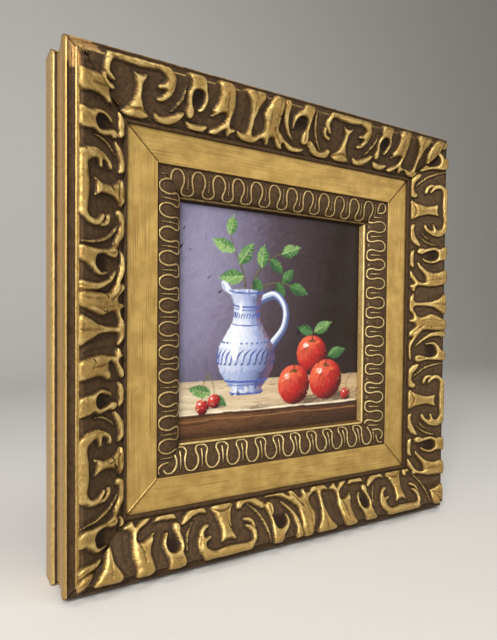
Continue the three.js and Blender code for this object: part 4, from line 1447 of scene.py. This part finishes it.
    blue, deep_blue = lin(62, 84, 158), lin(40, 54, 112)
    for z, w in ((20.6, 0.9), (11.5, 1.0), (9.6, 0.5), (-0.5, 0.6), (-37.0, 1.2), (-39.4, 0.5), (-45.0, 0.9)):
        pts = [(*around(z, nx), 1.0) for nx in np.linspace(-0.98, 0.98, 9)]
        c.line(pts, w, blue, 120 + int(z), 0.04)
    g = rng(77)
    for k in range(13):  # a ring of short curved dashes round the belly, closing up towards the sides
        nx = math.sin(-1.35 + 2.7 * k / 12)
        foreshort = math.sqrt(max(0.05, 1 - nx * nx))
        x0, z0 = around(-21.0, nx)
        a, b = 2.9 * foreshort, 5.0
        c.line([(x0 - a, z0 - b, 0.3), (x0 - 0.5 * a, z0 + 1.0, 1.0), (x0 + a, z0 + b, 0.3)], 1.3 * (0.5 + 0.5 * foreshort), blue if nx < 0.3 else deep_blue, 140 + k, 0.04)
        c.line([(x0 + a * 0.2, z0 - b, 0.8), (x0 + a * 0.5, z0 - b + 0.8, 0.8)], 1.1, deep_blue, 160 + k, 0.04)
        x1, z1 = around(-12.2, nx * 0.99)
        c.line([(x1 - 0.3, z1, 1.0), (x1 + 0.3, z1 + 0.2, 1.0)], 1.0, blue, 180 + k, 0.04)
        x2, z2 = around(5.4, nx * 0.98)
        c.line([(x2 - 0.5 * foreshort, z2 - 1.6, 0.5), (x2 + 0.5 * foreshort, z2 + 1.6, 0.9)], 0.9, blue, 200 + k, 0.04)
    c.strokes(220, lambda x, z: 1.0 - np.hypot((x - jug_x + 9.5) / 2.6, (z + 17.5) / 6.5), lambda x, z: lin(252, 252, 253), lambda x, z: 1.45, 26, 5.0, 1.0, 0.09, 0.1, 0.01)
    c.strokes(221, lambda x, z: 1.0 - np.hypot((x - jug_x + 4.8) / 1.0, (z - 8.5) / 4.0), lambda x, z: lin(250, 251, 253), lambda x, z: 1.5, 12, 3.0, 0.7, 0.08, 0.1, 0.01)

    def ball(seed, x0, z0, r, dark, half_tone, lit, spark, count, stroke, width):
        def field(x, z):
            th = np.arctan2(z - z0, x - x0)
            edge = r * (1 + 0.018 * np.cos(2 * th + seed) - 0.03 * np.exp(-(((th - math.pi / 2) / 0.35) ** 2)))
            return edge - np.hypot(x - x0, z - z0)

        def shade(x, z):
            nx, nz = (x - x0) / r, (z - z0) / r
            ny = math.sqrt(max(0.0, 1 - nx * nx - nz * nz))
            k = float(np.array([nx, nz, ny]) @ light) / float(np.linalg.norm(light))
            bounce = 0.16 * max(0.0, -nz) * max(0.0, 1 - ny)
            return three(dark, half_tone, lit, min(max(0.18 + 0.80 * k + bounce, 0), 1))

        c.strokes(seed, field, shade, lambda x, z: math.atan2(z - z0 + 0.25 * r, x - x0) + math.pi / 2, count, stroke, width, 0.05, 0.1, 0.04)
        sx, sz = x0 - 0.42 * r, z0 + 0.44 * r
        c.strokes(seed + 1, lambda x, z: 1.0 - np.hypot((x - sx) / (0.17 * r), (z - sz) / (0.13 * r)), lambda x, z: spark, lambda x, z: 0.8, 14, 0.25 * r, 0.1 * r, 0.09, 0.1, 0.01)

    for k, (x, z, r) in enumerate([apples[2], apples[0], apples[1]]):
        ball(240 + 4 * k, x, z, r, lin(74, 10, 14), lin(186, 34, 30), lin(232, 104, 74), lin(255, 226, 210), 620, 4.6, 1.3)
        g = rng(300 + k)
        for m in range(34):  # pale streaks running down from the stalk
            th = g.uniform(0.1, math.pi - 0.1) if m % 2 else g.uniform(-math.pi, 0)
            r1, r2 = g.uniform(0.25, 0.5) * r, g.uniform(0.55, 0.92) * r
            c.line([(x + r1 * math.cos(th), z + 0.4 * r + (r1 * 0.6) * math.sin(th) * 0.8, 0.4), (x + r2 * math.cos(th) * 0.95, z + 0.1 * r + r2 * math.sin(th) * 0.85, 0.2)], 0.4, lin(226, 120, 70) if th > 0.6 else lin(130, 18, 20), 320 + m, 0.03)
        c.strokes(400 + k, lambda a, b: 1.0 - np.hypot((a - x) / (0.26 * r), (b - z - 0.70 * r) / (0.10 * r)), lambda a, b: lin(92, 66, 24), lambda a, b: 0.0, 16, 2.2, 0.6, 0.03, 0.1)
        c.line([(x, z + 0.68 * r, 1.2), (x + 0.4, z + 0.95 * r, 0.8), (x + 2.0, z + 1.22 * r, 0.9)], 0.9, lin(66, 42, 20), 410 + k)
    leaf(420, (31.5, -6.0), (47.0, 1.0), 4.4, 0.5)
    leaf(421, (30.0, -6.5), (17.0, -3.0), 3.8, 0.34)
    leaf(422, (44.0, -23.0), (60.0, -18.5), 4.2, 0.42)
    leaf(423, (-50.0, -45.0), (-66.0, -41.0), 4.2, 0.55)
    leaf(424, (-49.0, -46.0), (-38.5, -53.5), 3.4, 0.42)
    stem = lin(104, 110, 58)
    c.line([(-47.5, -46.0, 0.8), (-48.5, -39.0, 0.8), (-52.0, -33.0, 1.2)], 0.7, stem, 431)
    c.line([(-56.0, -48.5, 0.8), (-55.5, -40.0, 0.8), (-52.0, -33.0, 1.2)], 0.7, stem, 432)
    c.line([(60.5, -47.5, 0.8), (62.5, -41.0, 0.8), (66.0, -37.0, 1.0)], 0.7, stem, 433)
    for k, (x, z, r) in enumerate(cherries):
        ball(440 + 4 * k, x, z, r, lin(50, 6, 12), lin(150, 20, 26), lin(216, 70, 58), lin(255, 230, 222), 110, 2.2, 0.8)
    return c


def painting_material(name):
    """Oil paint under a thin varnish: colour per spot, fine bristle marks and a few dull patches."""
    t = Tree(name)
    paint = t.attr("paint").outputs["Vector"]
    spot = t.attr("rail").outputs["Vector"]
    thick = t.attr("thick").outputs["Fac"]
    bristle = t.noise(t.vmul(spot, (1.6, 5.0, 1.0)), 1.0, 3.0, 0.6, 0.8)
    fine = t.noise(t.vmul(spot, (4.0, 4.0, 4.0)), 1.0, 2.0)
    dull = t.noise(t.vmul(spot, (0.05, 0.05, 0.05)), 1.0, 3.0)
    colour = t.mix(t.ramp(bristle, 0.3, 0.7, 0.0, 0.14), paint, lin(40, 30, 22), "MULTIPLY")
    colour = t.mix(t.ramp(fine, 0.45, 0.75, 0.0, 0.10), colour, lin(150, 136, 110))
    height = t.math("ADD", t.math("MULTIPLY", thick, 0.6), t.math("MULTIPLY", bristle, 0.5))
    rough = t.math("ADD", t.ramp(dull, 0.3, 0.7, 0.40, 0.52), t.ramp(fine, 0.3, 0.7, -0.03, 0.04))
    t.out(Base_Color=colour, Roughness=rough, Normal=t.bump(height, 0.00008, 0.7))
    t.bsdf.inputs["Specular IOR Level"].default_value = 0.2
    return t.mat


def panel_board(name):
    """Brown pressed board of the panel's edges and back, with its fibres and a few scuffs."""
    t = Tree(name)
    spot = t.attr("rail").outputs["Vector"]
    fibre = t.noise(t.vmul(spot, (1.2, 1.6, 1.2)), 1.0, 4.0, 0.7, 1.5)
    cloud = t.noise(t.vmul(spot, (0.05, 0.05, 0.05)), 1.0, 3.0)
    scuff = t.noise(t.vmul(spot, (0.12, 0.5, 0.3)), 1.0, 4.0, 0.65, 0.6)
    c = t.mix(t.ramp(cloud, 0.3, 0.7), lin(112, 78, 50), lin(132, 96, 64))
    c = t.mix(t.ramp(fibre, 0.5, 0.75, 0.0, 0.55), c, lin(84, 56, 34))
    c = t.mix(t.ramp(scuff, 0.62, 0.75, 0.0, 0.4), c, lin(166, 132, 96))
    t.out(Base_Color=c, Roughness=t.ramp(fibre, 0.3, 0.7, 0.6, 0.8), Normal=t.bump(fibre, 0.00015, 0.6))
    return t.mat


def painted_panel(materials):
    c = still_life()
    n = 250
    half = 76.15
    x = np.linspace(-half, half, n + 1)
    X, Z = np.meshgrid(x, x)
    fx, fz = X.ravel(), Z.ravel()
    inside = np.clip((71.6 - np.maximum(np.abs(fx), np.abs(fz))) / 1.5, 0, 1)
    relief = np.clip(c.sample(c.relief, fx, fz), 0, 0.09) * inside
    front = np.stack([fx, -(18.40 + relief), fz - MOUNT_A], 1)
    paint = np.clip(c.sample(c.colour, fx, fz), 0.002, 0.95)
    m = n + 1
    idx = np.arange(m * m).reshape(m, m)
    quads = np.stack([idx[:-1, :-1], idx[:-1, 1:], idx[1:, 1:], idx[1:, :-1]], -1).reshape(-1, 4)
    ring = np.concatenate([idx[0, :-1], idx[:-1, -1], idx[-1, :0:-1], idx[:0:-1, 0]])
    verts = [front]
    base = m * m
    loops = [ring]
    flat_ring = front[ring]
    for inset, depth in ((0.0, 18.2), (0.0, 15.55), (0.25, 15.3)):
        p = flat_ring.copy()
        s = (half - inset) / half
        p[:, 0] *= s
        p[:, 2] = (p[:, 2] + MOUNT_A) * s - MOUNT_A
        p[:, 1] = -depth
        verts.append(p)
        loops.append(base + np.arange(len(ring)))
        base += len(ring)
    points = np.concatenate(verts)
    sides = []
    for a, b in zip(loops[:-1], loops[1:]):
        sides.append(np.stack([a, np.roll(a, -1), np.roll(b, -1), b], -1))
    sides = np.concatenate(sides)
    back = [int(v) for v in loops[-1]]
    me = bpy.data.meshes.new("painted_board")
    polys = [list(q) for q in quads.tolist()] + [list(q)[::-1] for q in sides.tolist()] + [back]
    me.from_pydata((points * MM).tolist(), [], polys)
    me.validate()
    me.polygons.foreach_set("material_index", [0] * len(quads) + [1] * (len(sides) + 1))
    me.polygons.foreach_set("use_smooth", [True] * len(quads) + [False] * (len(sides) + 1))
    me.update()
    ob = bpy.data.objects.new("painted_board", me)
    bpy.context.scene.collection.objects.link(ob)
    extra = len(points) - m * m
    a = me.attributes.new("paint", "FLOAT_VECTOR", "POINT")
    a.data.foreach_set("vector", np.concatenate([paint, np.full((extra, 3), 0.1)]).ravel())
    attribute(ob, "thick", np.concatenate([relief / 0.09, np.zeros(extra)]))
    attribute(ob, "rail", np.stack([points[:, 0], points[:, 2], points[:, 1]], 1) + np.array([0, 300, 0]))
    for mat in materials:
        me.materials.append(mat)
    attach(ob, "root")
    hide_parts("painted_panel")
    return ob


# ------------------------------------------------------------------ build

GILT = gilt_over_brown("gilt_over_brown")
STRIP = gilt_over_brown("gilt_strip", strip=True)
FLAT = gilt_flat("gilt_flat")
WOOD = bare_wood("bare_wood")
for side in SIDES:
    carved_moulding(side, carved_repeat(side), [GILT, WOOD])
    liner_moulding(side, [STRIP, FLAT, WOOD])
painted_panel([painting_material("oil_paint"), panel_board("pressed_board")])

# ------------------------------------------------------------------ stage, light, camera

floor_z = -0.2745


def plain(name, colour, rough):
    m = bpy.data.materials.new(name)
    m.use_nodes = True
    b = next(n for n in m.node_tree.nodes if n.type == "BSDF_PRINCIPLED")
    b.inputs["Base Color"].default_value = colour
    b.inputs["Roughness"].default_value = rough
    return m


def make_floor():
    me = bpy.data.meshes.new("floor")
    s, back, up, r, n = 3.0, 1.6, 3.0, 0.7, 16
    rows = [(-s, 0.0)]
    for k in range(n + 1):
        a = math.pi / 2 * k / n
        rows.append((back - r + r * math.sin(a), r - r * math.cos(a)))
    rows.append((back, up))
    verts = [(x, y, floor_z + z) for y, z in rows for x in (-4.0, 4.0)]
    faces = [(2 * i, 2 * i + 1, 2 * i + 3, 2 * i + 2) for i in range(len(rows) - 1)]
    me.from_pydata(verts, [], faces)
    for p in me.polygons:
        p.use_smooth = True
    ob = bpy.data.objects.new("floor", me)
    bpy.context.scene.collection.objects.link(ob)
    ob.data.materials.append(plain("floor_paper", (0.72, 0.71, 0.69, 1), 0.8))


make_floor()


def area(name, where, at, size, power, colour=(1, 1, 1)):
    data = bpy.data.lights.new(name, "AREA")
    data.shape = "RECTANGLE"
    data.size, data.size_y = size
    data.energy = power
    data.color = colour
    ob = bpy.data.objects.new(name, data)
    ob.location = where
    ob.rotation_mode = "QUATERNION"
    ob.rotation_quaternion = (Vector(at) - Vector(where)).to_track_quat("-Z", "Y")
    bpy.context.scene.collection.objects.link(ob)


CENTRE = (0, -0.03, -0.13)
area("key", (-0.9, -0.95, 0.62), CENTRE, (0.45, 0.45), 20.0, (1.0, 0.985, 0.95))
area("fill", (0.9, -1.2, 0.05), CENTRE, (0.9, 1.0), 5.5, (1.0, 0.98, 0.95))
area("left", (-1.0, -0.5, -0.1), CENTRE, (0.3, 0.8), 5.0, (1.0, 0.98, 0.94))
area("top", (0.1, -0.5, 1.1), CENTRE, (0.7, 0.5), 5.0, (1.0, 0.99, 0.97))

world = bpy.data.worlds.new("studio")
bpy.context.scene.world = world
world.use_nodes = True
bg = world.node_tree.nodes["Background"]
bg.inputs["Color"].default_value = (1.0, 0.96, 0.9, 1)
bg.inputs["Strength"].default_value = 0.2
bpy.context.scene.view_settings.view_transform = "Standard"
bpy.context.scene.view_settings.look = "None"

# The camera at the photograph's place: the solved rotation, distance and lens.
yaw, pitch, roll = np.radians([-30.71, 1.44, 0.5])
cy_, sy_ = math.cos(yaw), math.sin(yaw)
cp_, sp_ = math.cos(pitch), math.sin(pitch)
cr_, sr_ = math.cos(roll), math.sin(roll)
RY = np.array([[cy_, 0, sy_], [0, 1, 0], [-sy_, 0, cy_]])
RX = np.array([[1, 0, 0], [0, cp_, -sp_], [0, sp_, cp_]])
RZ = np.array([[cr_, -sr_, 0], [sr_, cr_, 0], [0, 0, 1]])
M = RZ @ RX @ RY
T = np.array([0.1217, -0.0398, 1.5844]) * 216.0
eye = -M.T @ T  # x right, y down, z towards the wall, from the flat's centre


def to_row(p, point=True):
    x, y, z = p
    if point:
        return Vector((x * MM, -(30.0 - z) * MM, (-y - MOUNT_A) * MM))
    return Vector((x, z, -y))


right, down, forward = (to_row(M[k], False) for k in range(3))
cam_data = bpy.data.cameras.new("camera")
cam = bpy.data.objects.new("camera", cam_data)
bpy.context.scene.collection.objects.link(cam)
rot = Matrix((right, -down, -forward)).transposed()
cam.matrix_world = Matrix.Translation(to_row(eye)) @ rot.to_4x4()
cam_data.sensor_width = 36.0
cam_data.lens = 36.0 * 521.6 / 640.0
cam_data.shift_x = (248.5 - 247.4) / 640.0
cam_data.shift_y = (336.0 - 320.0) / 640.0
cam_data.clip_start, cam_data.clip_end = 0.01, 50.0
bpy.context.scene.camera = cam
